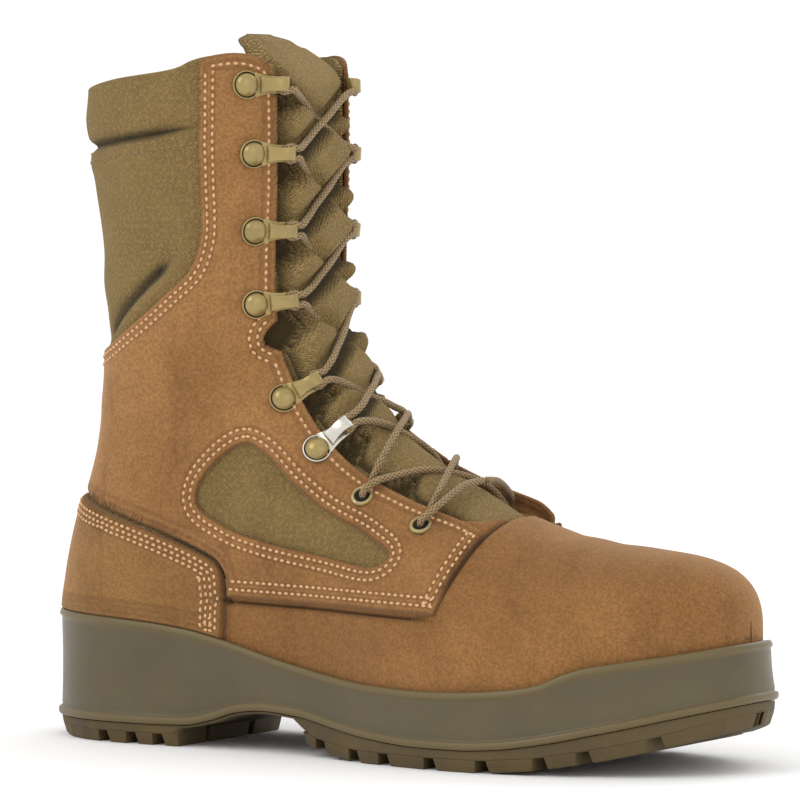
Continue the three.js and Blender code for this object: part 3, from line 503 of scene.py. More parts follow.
def relief(points: Array, curl: float = 0) -> Array:
    """Creases and folds of the upper at places of the last.

    Args:
        points: places in millimetres.
        curl: how far the inner facing's edge stands up at its front.

    Returns:
        How far each place moves out of the last.
    """
    x, z = points[..., 0], points[..., 2]
    total = np.zeros(x.shape)
    for crease in CREASES:
        total += crease.lift(x, z)
    if curl:
        off = points[..., 1] - LAST.middle(x, z)
        front = ramp((x / LAST.length - 0.36) / 0.12) * ramp((0.698 - x / LAST.length) / 0.07)
        edge = np.exp(-((np.maximum(off - LAST.throat, 0) / 4.0) ** 2))
        total += curl * front * np.where(off > 0, edge, 0)
    return total


def side_path(rows: Pairs, closed: bool = False) -> Array:
    """A side outline in shares as a line of sections and steps."""
    line = smooth_line([(x * LAST.length, z * LAST.collar) for x, z in rows], closed)
    return LAST.locate(line[:, 0], line[:, 1])


def throat_path(start: float, half: float, top: float = 24, bottom: float | None = None) -> Array:
    """The throat's edge on one side, from the top down to its rounded end on the crest.

    Args:
        start: section at which the throat ends on the vamp.
        half: half-width of the throat.
        top: section that the line starts from.
        bottom: section at which a straight line stops, for none the end is rounded.

    Returns:
        Rows of section and step.
    """
    if bottom is None:
        turn = np.linspace(0, np.pi / 2, 14)
        at = np.concatenate([np.linspace(top, start + 0.8, 90), start + 0.8 - 0.8 * np.sin(turn[1:])])
        off = np.concatenate([np.full(90, half), half * np.cos(turn[1:]) ** 0.75])
    else:
        at = np.linspace(top, bottom, 90)
        off = np.full(90, half)
    p = LAST.facing(at, np.maximum(off, 0.05))
    line = LAST.locate(p[:, 0], p[:, 2])
    return line if bottom is not None else np.vstack([line[:-1], [[start, 1.05]]])


def rim_path(start: float, stop: float, drop: float) -> Array:
    """A line along the midsole's rim, by places along the sole and a drop below it."""
    x = np.linspace(start, stop, 160)
    return LAST.locate(x, LAST.rim(np.clip(x, 0, LAST.length)) - drop)


def straight(a: tuple[float, float], b: tuple[float, float]) -> Array:
    """A straight line of sections and steps."""
    return np.linspace(a, b, 120)


def cross(a: Array, b: Array) -> tuple[float, float, Array]:
    """Where two lines cross.

    Args:
        a: the first line.
        b: the second.

    Returns:
        The crossing's place on each line and the point.

    Raises:
        ValueError: if they don't cross.
    """
    p, r = a[:-1, None], np.diff(a, axis=0)[:, None]
    q, s = b[None, :-1], np.diff(b, axis=0)[None]
    den = r[..., 0] * s[..., 1] - r[..., 1] * s[..., 0]
    den = np.where(np.abs(den) < 1e-14, 1e-14, den)
    gap = q - p
    t = (gap[..., 0] * s[..., 1] - gap[..., 1] * s[..., 0]) / den
    u = (gap[..., 0] * r[..., 1] - gap[..., 1] * r[..., 0]) / den
    hits = np.argwhere((t >= -1e-9) & (t <= 1 + 1e-9) & (u >= -1e-9) & (u <= 1 + 1e-9))
    if not len(hits):
        raise ValueError(f"lines don't cross: {a[0]}..{a[-1]} and {b[0]}..{b[-1]}")
    i, j = hits[0]
    return i + t[i, j], j + u[i, j], a[i] + t[i, j] * (a[i + 1] - a[i])


@dataclass
class Outline:
    """A panel's outline on one side: lines that each cross the next, with a mark for free edges."""

    lines: list[tuple[Array, bool]]

    def loop(self, spacing: float) -> tuple[Array, Array]:
        """Joins the lines.

        Args:
            spacing: distance between points on the last, in millimetres.

        Returns:
            The loop's sections and steps, and which of its points lie on a free edge.
        """
        count = len(self.lines)
        cuts = [cross(self.lines[i][0], self.lines[(i + 1) % count][0]) for i in range(count)]
        points, free = [], []
        for i, (line, is_free) in enumerate(self.lines):
            start, end = cuts[i - 1][1], cuts[i][0]
            inner = line[math.ceil(start + 1e-6) : math.floor(end - 1e-6) + 1]
            part = np.vstack([cuts[i - 1][2], inner, cuts[i][2]])
            walked = walk(LAST.spots(part, 1, 0))
            steps = max(2, round(walked[-1] / spacing))
            marks = np.linspace(0, walked[-1], steps + 1)[:-1]
            points.append(read_line(marks, walked, part))
            free.append(np.full(steps, is_free))
        loop, marks = np.vstack(points), np.concatenate(free)
        marks |= np.roll(marks, 1)
        return np.clip(loop, [0, 0], [LAST.sections, 1]), marks


def inward(loop: Array, distance: float, inside: float = 1) -> Array:
    """Moves a loop's points into the loop by a distance on the last.

    Args:
        loop: sections and steps.
        distance: in millimetres.
        inside: 1 for an outline, -1 for a hole.

    Returns:
        The moved sections and steps.
    """
    at, step = loop[:, 0], np.clip(loop[:, 1], 0.004, 0.996)
    tip = np.minimum(at, LAST.sections - 0.02)
    here = LAST.point(tip, step, 1, 0)
    across = (LAST.point(tip + 0.01, step, 1, 0) - here) / 0.01
    up = (LAST.point(tip, step + 0.002, 1, 0) - LAST.point(tip, step - 0.002, 1, 0)) / 0.004
    ahead = np.roll(loop, -1, 0) - np.roll(loop, 1, 0)
    tangent = ahead[:, :1] * across + ahead[:, 1:] * up
    normal = np.cross(across, up)
    normal = unit(normal)
    side = np.cross(normal, tangent)
    side = unit(side)
    area = np.sum(loop[:, 0] * np.roll(loop[:, 1], -1) - loop[:, 1] * np.roll(loop[:, 0], -1))
    side *= distance * inside * (1 if area > 0 else -1)
    aa, bb, ab = (across**2).sum(1), (up**2).sum(1), (across * up).sum(1)
    pa, pb = (side * across).sum(1), (side * up).sum(1)
    det = aa * bb - ab**2 + 1e-9
    move = np.stack([(pa * bb - pb * ab) / det, (pb * aa - pa * ab) / det], -1)
    return loop + np.clip(move, -2, 2)


def within(points: Array, loop: Array) -> Array:
    """Which points lie inside a loop."""
    x, y = points[:, :1], points[:, 1:]
    ax, ay = loop[:, 0], loop[:, 1]
    bx, by = np.roll(ax, -1), np.roll(ay, -1)
    rise = np.where(by == ay, 1e-12, by - ay)
    crossing = ((ay > y) != (by > y)) & (x < (bx - ax) * (y - ay) / rise + ax)
    return crossing.sum(1) % 2 == 1


def settle(name: str, shape: bmesh.types.BMesh, finish: bpy.types.Material) -> bpy.types.Object:
    """Turns a shape that has been built into a piece."""
    mesh = bpy.data.meshes.new(name)
    shape.to_mesh(mesh)
    shape.free()
    return link(name, mesh, finish)


def new_object(name: str, verts: Array, faces: list, finish: bpy.types.Material) -> bpy.types.Object:
    """Makes a mesh object in the scene.

    Args:
        name: the piece's name.
        verts: points in metres.
        faces: tuples of point numbers.
        finish: its material.

    Returns:
        The object, with smooth faces that point outwards.
    """
    mesh = bpy.data.meshes.new(name)
    mesh.from_pydata([tuple(v) for v in verts], [], faces)
    return link(name, mesh, finish)


def link(name: str, mesh: bpy.types.Mesh, finish: bpy.types.Material) -> bpy.types.Object:
    """Puts a mesh in the scene as a smooth object with a material."""
    piece = bpy.data.objects.new(name, mesh)
    bpy.context.scene.collection.objects.link(piece)
    mesh.shade_smooth()
    mesh.materials.append(finish)
    return piece


@dataclass
class Panel:
    """A piece of suede or cloth on the last, as a closed shell with rounded edges."""

    name: str
    outline: Outline
    bottom: float
    thickness: float
    holes: list[Array] = field(default_factory=list)
    sides: tuple[int, ...] = (-1, 1)
    edge: float = 0.9
    grid: float = 2.3
    curl: float = 0
    guides: tuple[Pairs, ...] = ()

    def build(self, finish: bpy.types.Material) -> bpy.types.Object:
        """Meshes the panel on each of its sides and joins them.

        Args:
            finish: its material.

        Returns:
            The panel.
        """
        places, free_places, tris = self.flat_mesh()
        shell = bmesh.new()
        layer = shell.verts.layers.float.new("edge")
        wide = shell.verts.layers.float.new("unroll")
        tall = shell.verts.layers.float.new("climb")
        deep = shell.verts.layers.float.new("fold")
        for side in self.sides:
            spots = LAST.spots(places, side, 0)
            rims = LAST.spots(free_places, side, 0)
            gap = np.where(self.on_rim, 0, nearest(spots, rims))
            profile = np.sqrt(np.clip(1 - (1 - np.clip(gap / self.edge, 0, 1)) ** 2, 0, 1))
            folds = relief(spots, self.curl)
            outer = LAST.spots(places, side, self.bottom + folds + self.thickness * profile)
            inner = LAST.spots(places, side, self.bottom + folds)
            girth = self.unroll(spots)
            for skin, flip in ((outer, side < 0), (inner, side > 0)):
                verts = [shell.verts.new(p) for p in LAST.rest(skin)]
                for vert, distance, around, spot, fold in zip(verts, gap, girth, spots, folds):
                    vert[layer] = distance
                    vert[wide] = around * MM
                    vert[tall] = spot[2] * MM
                    # Painted shade: points in the deeper creases get a fold value that darkens their colour.
                    vert[deep] = np.clip((-fold - 0.9) / 1.2, 0, 1)
                for tri in tris:
                    a, b, c = (verts[i] for i in tri)
                    shell.faces.new((a, c, b) if flip else (a, b, c))
        bmesh.ops.remove_doubles(shell, verts=shell.verts, dist=0.00004)
        bmesh.ops.dissolve_degenerate(shell, edges=shell.edges, dist=0.00001)
        bmesh.ops.recalc_face_normals(shell, faces=shell.faces)
        return settle(self.name, shell, finish)

    @staticmethod
    def unroll(spots: Array) -> Array:
        """Distance round the boot of places, from their x and how fast the side turns away."""
        return spots[:, 0] + 0.55 * np.abs(spots[:, 1])

    def flat_mesh(self) -> tuple[Array, Array, list[tuple[int, int, int]]]:
        """Triangulates the panel in sections and steps.

        Returns:
            The points, the points of its free edges, and the triangles.
        """
        loop, free = self.outline.loop(SPACING)
        rings = [(loop, free, 1)] + [(hole, np.ones(len(hole), bool), -1) for hole in self.holes]
        points, edges, rim, dense = [], [], [], []
        start = 0
        for ring, marks, _ in rings:
            count = len(ring)
            points.append(ring)
            rim.append(marks)
            edges += [(start + i, start + (i + 1) % count) for i in range(count)]
            start += count
            ahead = np.roll(ring, -1, 0)
            both = marks & np.roll(marks, -1)
            for t in (0, 0.25, 0.5, 0.75):
                dense.append((ring + (ahead - ring) * t)[both if t else marks])
        for share in EDGE_SHARES:
            for ring, marks, sense in rings:
                moved = inward(ring, share * self.edge, sense)
                keep = marks & within(moved, loop) & (moved[:, 1] < 0.998) & (moved[:, 1] > 0.002)
                keep &= moved[:, 0] > 0.01
                points.append(moved[keep])
                rim.append(np.zeros(keep.sum(), bool))
        for rows in self.guides:
            for drop in GUIDE_DROPS:
                line = side_path([(x - drop, z + drop) for x, z in rows])
                walked = walk(LAST.spots(line, 1, 0))
                line = read_line(np.arange(0, walked[-1], GUIDE_PITCH), walked, line)
                points.append(line[within(line, inward(loop, 1.2))])
                rim.append(np.zeros(len(points[-1]), bool))
        dense = np.vstack(dense)
        points.append(self.inner_points(loop, np.vstack(points)))
        rim.append(np.zeros(len(points[-1]), bool))
        flat = np.vstack(points)
        verts = [Vector(p) for p in flat * FLAT_SCALE]
        out, _, faces, sources, _, _ = delaunay_2d_cdt(verts, edges, [], 0, 1e-5)
        places = np.array([tuple(v) for v in out]) / FLAT_SCALE
        on_rim = np.concatenate(rim)
        self.on_rim = np.array([any(on_rim[s] for s in source) if source else True for source in sources])
        tris = np.array(faces)
        centres = places[tris].mean(1)
        keep = within(centres, loop)
        for hole in self.holes:
            keep &= ~within(centres, hole)
        return places, dense, [tuple(tri) for tri in tris[keep]]

    def inner_points(self, loop: Array, taken: Array) -> Array:
        """Grid points inside the loop that keep clear of its edges.

        Args:
            loop: the outline.
            taken: points that are there already.

        Returns:
            Sections and steps.
        """
        rows = []
        for k, at in enumerate(np.arange(0.06, LAST.sections - 0.02, 0.1 * self.grid / 2.3)):
            ends = LAST.point(np.full(60, at), np.linspace(0, 1, 60), 1, 0)
            girth = np.linalg.norm(np.diff(ends, axis=0), axis=1).sum()
            count = max(4, round(girth / self.grid))
            steps = (np.arange(count) + (0.25 if k % 2 else 0.75)) / count
            rows.append(np.stack([np.full(count, at), steps], -1))
        grid = np.vstack(rows)
        grid = grid[within(grid, loop)]
        for hole in self.holes:
            grid = grid[~within(grid, hole)]
        spots = LAST.spots(grid, 1, 0)
        near = LAST.spots(taken, 1, 0)
        return grid[nearest(spots, near) > 0.42 * self.grid]


def flat_line(loop: Array, free: Array, distance: float) -> list[Array]:
    """Lines beside a loop's free edges, a distance inside it.

    Args:
        loop: sections and steps.
        free: which points lie on a free edge.
        distance: in millimetres.

    Returns:
        One line for each stretch of free edge.
    """
    moved = inward(loop, distance)
    runs, current = [], []
    for place, mark in zip(np.vstack([moved, moved[:1]]), np.append(free, free[0])):
        if mark:
            current.append(place)
        elif current:
            runs.append(np.array(current))
            current = []
    if current:
        runs.append(np.array(current))
    return [run for run in runs if len(run) > 7]


@dataclass
class Stitching:
    """Rows of stitches, each a small bead of thread that dips into the panel at its ends."""

    name: str
    pitch: float = 2.9
    long: float = 1.8
    wide: float = 1.2
    high: float = 0.55
    rows: list[tuple[Array, int]] = field(default_factory=list)

    def add(self, path: Array, height: float, curl: float = 0) -> None:
        """Adds a row on both sides of the boot along a line of sections and steps.

        Args:
            path: the line.
            height: of the surface that it lies on, out of the last.
            curl: how far the inner facing's edge stands up.
        """
        for side in (-1, 1):
            folds = relief(LAST.spots(path, side, 0), curl if side > 0 else 0)
            self.rows.append((LAST.spots(path, side, height + folds), side))

    def build(self, finish: bpy.types.Material) -> bpy.types.Object:
        """Joins all the stitches in one piece.

        Args:
            finish: its material.

        Returns:
            The stitches.
        """
        bead = self.bead()
        verts, faces = [], []
        for line, side in self.rows:
            walked = walk(line)
            if walked[-1] < 2 * self.pitch:
                continue
            marks = np.arange(self.pitch / 2, walked[-1], self.pitch)
            spot = read_line(marks, walked, line)
            along = read_line(marks + 1, walked, line) - read_line(marks - 1, walked, line)
            along = unit(along)
            out = self.outwards(spot, side)
            across = np.cross(out, along)
            across = unit(across)
            out = np.cross(along, across)
            for p, a, c, o in zip(spot, along, across, out):
                start = len(verts)
                verts += [p + a * v[0] + c * v[1] + o * v[2] for v in bead[0]]
                faces += [tuple(start + i for i in face) for face in bead[1]]
        return new_object(self.name, LAST.rest(np.array(verts)), faces, finish)

    @staticmethod
    def outwards(spots: Array, side: int) -> Array:
        """Rough outward directions of the last at points of one side."""
        place = LAST.locate(spots[:, 0], spots[:, 2])
        at = np.clip(place[:, 0], 0.05, LAST.sections - 0.05)
        step = np.clip(place[:, 1], 0.01, 0.99)
        ahead = LAST.point(at + 0.04, step, side, 0) - LAST.point(at - 0.04, step, side, 0)
        up = LAST.point(at, step + 0.008, side, 0) - LAST.point(at, step - 0.008, side, 0)
        out = np.cross(ahead, up) * (1 if side > 0 else -1)
        out = unit(out)
        flip = np.sign((out * np.array([0, side, 0.3])).sum(1, keepdims=True))
        return out * np.where(flip == 0, 1, flip)

    def bead(self) -> tuple[Array, list[tuple[int, ...]]]:
        """One stitch as a low oval bead of a few dozen faces."""
        shape = bmesh.new()
        bmesh.ops.create_uvsphere(shape, u_segments=8, v_segments=5, radius=0.5)
        bmesh.ops.rotate(shape, verts=shape.verts, matrix=Matrix.Rotation(math.pi / 2, 3, "Y"))
        bmesh.ops.scale(shape, vec=(self.long, self.wide, 2 * self.high), verts=shape.verts)
        verts = np.array([v.co[:] for v in shape.verts])
        faces = [tuple(v.index for v in face.verts) for face in shape.faces]
        shape.free()
        return verts, faces


class Tree:
    """Short ways to add and join shader nodes."""

    def __init__(self, tree: bpy.types.NodeTree) -> None:
        """Keeps the node tree."""
        self.tree = tree

    def node(self, kind: str, inputs: dict | None = None, **settings: object) -> bpy.types.Node:
        """Adds a node.

        Args:
            kind: the node's type, without the word ShaderNode.
            inputs: values or sockets for its inputs, by name or number.
            settings: its other properties.

        Returns:
            The node.
        """
        made = self.tree.nodes.new("ShaderNode" + kind)
        for key, value in settings.items():
            setattr(made, key, value)
        for key, value in (inputs or {}).items():
            if isinstance(value, bpy.types.NodeSocket):
                self.join(value, made.inputs[key])
            else:
                made.inputs[key].default_value = value
        return made

    def join(self, value: bpy.types.NodeSocket, socket: bpy.types.NodeSocket) -> None:
        """Links a value to an input."""
        self.tree.links.new(value, socket)

    def math(self, kind: str, a: object, b: object = 0.0, clamp: bool = False) -> bpy.types.NodeSocket:
        """Adds a Math node and returns its value."""
        return self.node("Math", {0: a, 1: b}, operation=kind, use_clamp=clamp).outputs[0]

    def times(self, a: object, b: object) -> bpy.types.NodeSocket:
        """Multiplies two values."""
        return self.math("MULTIPLY", a, b)

    def band(self, value: object, low: float, high: float) -> bpy.types.NodeSocket:
        """A smooth rise from 0 at low to 1 at high."""
        return self.node("MapRange", {0: value, 1: low, 2: high, 3: 0.0, 4: 1.0},
                         interpolation_type="SMOOTHSTEP").outputs[0]

    def blend(self, share: object, a: object, b: object) -> bpy.types.NodeSocket:
        """Mixes two colours."""
        made = self.node("Mix", {0: share}, data_type="RGBA")
        for number, value in ((6, a), (7, b)):
            if isinstance(value, bpy.types.NodeSocket):
                self.join(value, made.inputs[number])
            else:
                made.inputs[number].default_value = value
        return made.outputs[2]

    def noise(self, place: object, scale: float, detail: float = 4,
              rough: float = 0.55) -> bpy.types.NodeSocket:
        """A noise texture's value."""
        return self.node("TexNoise", {"Vector": place, "Scale": scale, "Detail": detail,
                                      "Roughness": rough}).outputs[0]

    def object_place(self, scale: tuple[float, float, float] = (1, 1, 1)) -> bpy.types.NodeSocket:
        """Object coordinates, scaled."""
        place = self.node("TexCoord").outputs["Object"]
        return self.node("Mapping", {0: place, 3: scale}).outputs[0] if scale != (1, 1, 1) else place


def colour(red: float, green: float, blue: float) -> tuple[float, float, float, float]:
    """A display colour of 0 to 255 as a linear one."""
    return tuple((c / 255 / 12.92 if c <= 10.3 else ((c / 255 + 0.055) / 1.055) ** 2.4)
                 for c in (red, green, blue)) + (1.0,)


def effect(name: str, inputs: list[tuple[str, str, object]], outputs: list[tuple[str, str]]) -> tuple:
    """Starts a shared shader group.

    Args:
        name: the group's name.
        inputs: name, kind and value of each input.
        outputs: name and kind of each output.

    Returns:
        The group, its tree helper, its input node and its output node.
    """
    group = bpy.data.node_groups.new(name, "ShaderNodeTree")
    for label, kind, value in inputs:
        socket = group.interface.new_socket(label, in_out="INPUT", socket_type="NodeSocket" + kind)
        socket.default_value = value
    for label, kind in outputs:
        group.interface.new_socket(label, in_out="OUTPUT", socket_type="NodeSocket" + kind)
    return group, Tree(group), group.nodes.new("NodeGroupInput"), group.nodes.new("NodeGroupOutput")


def nap_group() -> bpy.types.NodeTree:
    """The brushed nap of suede: cloudy tone, fine fibres and strokes, and painted shade along the panels'
    edges.
    """
    group, tree, start, end = effect(
        "nap", [("Base", "Color", colour(160, 115, 72)), ("Worn", "Color", colour(190, 145, 98)),
                ("Dark", "Color", colour(110, 74, 42)), ("Edge", "Float", 9.0)],
        [("Color", "Color"), ("Roughness", "Float"), ("Height", "Float")])
    place = tree.object_place()
    cloud = tree.noise(place, 16, 5, 0.6)
    stroke = tree.noise(tree.object_place((1, 1, 0.35)), 55, 4, 0.65)
    fibre = tree.noise(place, 900, 3, 0.7)
    speck = tree.noise(place, 420, 4, 0.75)
    tone = tree.blend(tree.band(cloud, 0.38, 0.66), start.outputs["Base"], start.outputs["Worn"])
    tone = tree.blend(tree.times(tree.band(stroke, 0.5, 0.75), 0.45), tone, start.outputs["Dark"])
    tone = tree.blend(tree.times(tree.band(speck, 0.42, 0.64), 0.34), tone, start.outputs["Worn"])
    tone = tree.blend(tree.times(tree.band(fibre, 0.4, 0.6), 0.4), tone, start.outputs["Dark"])
    # Painted shade: the colour darkens towards the panel's edges.
    edge_shade = tree.math("SUBTRACT", 1.0, tree.band(start.outputs["Edge"], 0.15, 1.3), clamp=True)
    tone = tree.blend(tree.times(edge_shade, 0.5), tone, start.outputs["Dark"])
    height = tree.math("ADD", tree.times(fibre, 0.6), tree.times(speck, 0.25))
    tree.join(tone, end.inputs["Color"])
    tree.join(tree.math("ADD", 0.82, tree.times(cloud, 0.15)), end.inputs["Roughness"])
    tree.join(height, end.inputs["Height"])
    return group


def weave_group() -> bpy.types.NodeTree:
    """A plain weave of thick yarns laid in two directions, with painted shade where the yarns dip."""
    group, tree, start, end = effect(
        "weave", [("Place", "Vector", (0, 0, 0)), ("Yarn", "Float", 900.0),
                  ("Base", "Color", colour(133, 112, 72)), ("Light", "Color", colour(166, 146, 98)),
                  ("Dark", "Color", colour(74, 60, 36))],
        [("Color", "Color"), ("Height", "Float")])
    parts = tree.node("SeparateXYZ", {0: start.outputs["Place"]})
    wobble = tree.times(tree.noise(start.outputs["Place"], 120, 2), 0.0005)
    u = tree.math("ADD", parts.outputs[0], wobble)
    v = tree.math("ADD", parts.outputs[2], wobble)
    across = tree.times(tree.math("ADD", u, v), start.outputs["Yarn"])
    up = tree.times(tree.math("SUBTRACT", u, v), start.outputs["Yarn"])
    a, b = (tree.times(x, math.pi) for x in (across, up))
    warp = tree.math("ABSOLUTE", tree.math("SINE", a))
    weft = tree.math("ABSOLUTE", tree.math("SINE", b))
    over = tree.band(tree.times(tree.math("COSINE", tree.times(a, 0.5)),
                               tree.math("COSINE", tree.times(b, 0.5))), -0.25, 0.25)
    height = tree.node("Mix", {0: over, 2: warp, 3: weft}, data_type="FLOAT").outputs[0]
    blotch = tree.noise(start.outputs["Place"], 30, 4, 0.6)
    fleck = tree.noise(start.outputs["Place"], 700, 2, 0.6)
    # Painted shade: the weave darkens where its yarns dip.
    tone = tree.blend(tree.band(height, 0.15, 0.75), start.outputs["Dark"], start.outputs["Base"])
    tone = tree.blend(tree.times(tree.band(fleck, 0.42, 0.66), 0.45), tone, start.outputs["Light"])
    tone = tree.blend(tree.times(tree.band(blotch, 0.42, 0.7), 0.22), tone, start.outputs["Light"])
    tree.join(tone, end.inputs["Color"])
    tree.join(height, end.inputs["Height"])
    return group


def dirt_group() -> bpy.types.NodeTree:
    """Dust and scuffs that gather low down."""
    group, tree, start, end = effect(
        "dirt", [("Color", "Color", colour(128, 128, 128)), ("Dust", "Color", colour(140, 120, 92)),
                 ("Amount", "Float", 0.3), ("Low", "Float", 0.0), ("High", "Float", 0.06)],
        [("Color", "Color"), ("Mask", "Float")])
    place = tree.object_place()
    height = tree.node("SeparateXYZ", {0: place}).outputs[2]
    fall = tree.node("MapRange", {0: height, 1: start.outputs["Low"], 2: start.outputs["High"],
                                  3: 1.0, 4: 0.0})
    patch = tree.band(tree.noise(place, 70, 6, 0.7), 0.4, 0.68)
    mask = tree.times(tree.times(fall.outputs[0], patch), start.outputs["Amount"])
    tone = tree.blend(mask, start.outputs["Color"], start.outputs["Dust"])
    tree.join(tone, end.inputs["Color"])
    tree.join(mask, end.inputs["Mask"])
    return group


GROUPS = {"nap": nap_group(), "weave": weave_group(), "dirt": dirt_group()}


class Finish:
    """A material being built: its tree, its shader and short ways to fill it."""

    def __init__(self, name: str, roughness: float, **sockets: object) -> None:
        """Makes the material.

        Args:
            name: the finish's name.
            roughness: plain roughness, where no pattern sets it.
            sockets: other constant values of the shader, with underscores for spaces.
        """
        self.material = bpy.data.materials.new(name)
        self.material.use_nodes = True
        self.tree = Tree(self.material.node_tree)
        self.shader = self.material.node_tree.nodes["Principled BSDF"]
        self.shader.inputs["Roughness"].default_value = roughness
        for key, value in sockets.items():
            self.shader.inputs[key.replace("_", " ")].default_value = value

    def use(self, name: str, **inputs: object) -> bpy.types.Node:
        """Places a shared group with its own values."""
        made = self.tree.node("Group", node_tree=GROUPS[name])
        for key, value in inputs.items():
            if isinstance(value, bpy.types.NodeSocket):
                self.tree.join(value, made.inputs[key])
            else:
                made.inputs[key].default_value = value
        return made

    def feed(self, name: str, socket: bpy.types.NodeSocket) -> None:
        """Joins a value to the shader."""
        self.tree.join(socket, self.shader.inputs[name])

    def bump(self, height: object, strength: float, distance: float) -> None:
        """Raises the surface by a height in metres."""
        made = self.tree.node("Bump", {"Strength": strength, "Distance": distance, "Height": height})
        self.feed("Normal", made.outputs[0])

    def attribute(self, name: str) -> bpy.types.NodeSocket:
        """A number kept on the mesh's points."""
        return self.tree.node("Attribute", attribute_name=name).outputs["Fac"]

    def shade(self, tone: bpy.types.NodeSocket, share: float) -> bpy.types.NodeSocket:
        """Paints shade into the mesh's folds: darkens a colour towards near black by the fold attribute."""
        fold = self.tree.times(self.attribute("fold"), share)
        # Near black: the painted shade of the folds.
        return self.tree.blend(fold, tone, colour(26, 19, 12))


@dataclass(frozen=True)
class Suede:
    """Brushed suede with painted shade along its raw edges and pressed seam lines."""

    name: str
    base: tuple[float, float, float]
    worn: tuple[float, float, float]
    dark: tuple[float, float, float]
    seams: tuple[float, ...] = ()

    def make(self) -> bpy.types.Material:
        """Builds the material."""
        finish = Finish(self.name, 0.9, Sheen_Weight=0.35, Sheen_Roughness=0.45,
                        Sheen_Tint=colour(235, 200, 160), Specular_IOR_Level=0.25)
        tree = finish.tree
        edge = finish.attribute("edge")
        nap = finish.use("nap", Base=colour(*self.base), Worn=colour(*self.worn), Dark=colour(*self.dark),
                         Edge=edge)
        tone = nap.outputs["Color"]
        groove = None
        for seam in self.seams:
            gap = tree.math("ABSOLUTE", tree.math("SUBTRACT", edge, seam))
            line = tree.math("SUBTRACT", 1.0, tree.band(gap, 0.2, 1.3))
            groove = line if groove is None else tree.math("MAXIMUM", groove, line)
        if groove is not None:
            tone = tree.blend(tree.times(groove, 0.3), tone, colour(*self.dark))
        dirt = finish.use("dirt", Color=tone, Amount=0.25, Low=0.02, High=0.075, Dust=colour(120, 88, 56))
        # Painted shade in the folds, over the nap's colour.
        finish.feed("Base Color", finish.shade(dirt.outputs["Color"], 0.88))
        finish.feed("Roughness", nap.outputs["Roughness"])
        height = nap.outputs["Height"]
        if groove is not None:
            height = tree.math("SUBTRACT", height, tree.times(groove, 1.2))
        finish.bump(height, 0.5, 0.0006)
        return finish.material


@dataclass(frozen=True)
class Cloth:
    """Thick woven cloth."""

    name: str
    base: tuple[float, float, float]
    light: tuple[float, float, float]
    dark: tuple[float, float, float]
    yarn: float = 900
    flat: bool = False
    sheen: float = 0.25

    def make(self) -> bpy.types.Material:
        """Builds the material."""
        finish = Finish(self.name, 0.92, Sheen_Weight=self.sheen, Sheen_Roughness=0.5,
                        Sheen_Tint=colour(220, 205, 165), Specular_IOR_Level=0.2)
        tree = finish.tree
        if self.flat:
            parts = tree.node("SeparateXYZ", {0: tree.object_place()})
            place = tree.node("CombineXYZ", {0: parts.outputs[0], 2: parts.outputs[1]})
        else:
            place = tree.node("CombineXYZ", {0: finish.attribute("unroll"),
                                                    2: finish.attribute("climb")})
        weave = finish.use("weave", Place=place.outputs[0], Yarn=self.yarn, Base=colour(*self.base),
                           Light=colour(*self.light), Dark=colour(*self.dark))
        dirt = finish.use("dirt", Color=weave.outputs["Color"], Amount=0.3, Low=0.05, High=0.16,
                          Dust=colour(*self.dark))
        # Painted shade in the folds, and in the tongue's valleys and gaps, over the weave's colour.
        finish.feed("Base Color", finish.shade(dirt.outputs["Color"], 0.95))
        finish.bump(weave.outputs["Height"], 0.8, 0.0005)
        return finish.material


@dataclass(frozen=True)
class Rubber:
    """Moulded rubber with faint mottling, a dusty tint low down and a painted highlight on the midsole's bead
    and lip.
    """

    name: str
    base: tuple[float, float, float]
    light: tuple[float, float, float]
    dust: tuple[float, float, float]
    dusty: float
    roughness: float = 0.5

    def make(self) -> bpy.types.Material:
        """Builds the material."""
        finish = Finish(self.name, self.roughness, Specular_IOR_Level=0.4)
        tree = finish.tree
        place = tree.object_place()
        cloud = tree.noise(place, 22, 5, 0.6)
        grit = tree.noise(place, 1300, 2, 0.6)
        tone = tree.blend(tree.band(cloud, 0.35, 0.7), colour(*self.base),
                                 colour(*self.light))
        # Painted highlight: the bead and lip rings are lightened towards this colour.
        tone = tree.blend(finish.attribute("trim"), tone, colour(*self.dust))
        dirt = finish.use("dirt", Color=tone, Amount=self.dusty, Low=0.0, High=0.05,
                          Dust=colour(*self.dust))
        finish.feed("Base Color", dirt.outputs["Color"])
        rough = tree.math("ADD", self.roughness, tree.times(dirt.outputs["Mask"], 0.4))
        finish.feed("Roughness", rough)
        finish.bump(grit, 0.25, 0.0002)
        return finish.material


@dataclass(frozen=True)
class PaintedMetal:
    """Painted metal, worn through to bright metal in places."""

    name: str
    paint: tuple[float, float, float]
    bare: tuple[float, float, float]
    worn: float
    roughness: float = 0.38

    def make(self) -> bpy.types.Material:
        """Builds the material."""
        finish = Finish(self.name, self.roughness, Coat_Weight=0.2, Coat_Roughness=0.3)
        tree = finish.tree
        place = tree.object_place()
        chip = tree.noise(place, 260, 5, 0.7)
        mask = tree.band(chip, 0.72 - 0.5 * self.worn, 0.8 - 0.5 * self.worn)
        cloud = tree.noise(place, 90, 3, 0.6)
        paint = tree.blend(tree.times(tree.band(cloud, 0.4, 0.7), 0.35),
                                  colour(*self.paint), colour(*(c * 0.72 for c in self.paint)))
        finish.feed("Base Color", tree.blend(mask, paint, colour(*self.bare)))
        finish.feed("Metallic", tree.math("ADD", 0.45, tree.times(mask, 0.5)))
        finish.feed("Roughness", tree.math("ADD", self.roughness,
                                                  tree.times(cloud, 0.12)))
        finish.bump(chip, 0.12, 0.0002)
        return finish.material


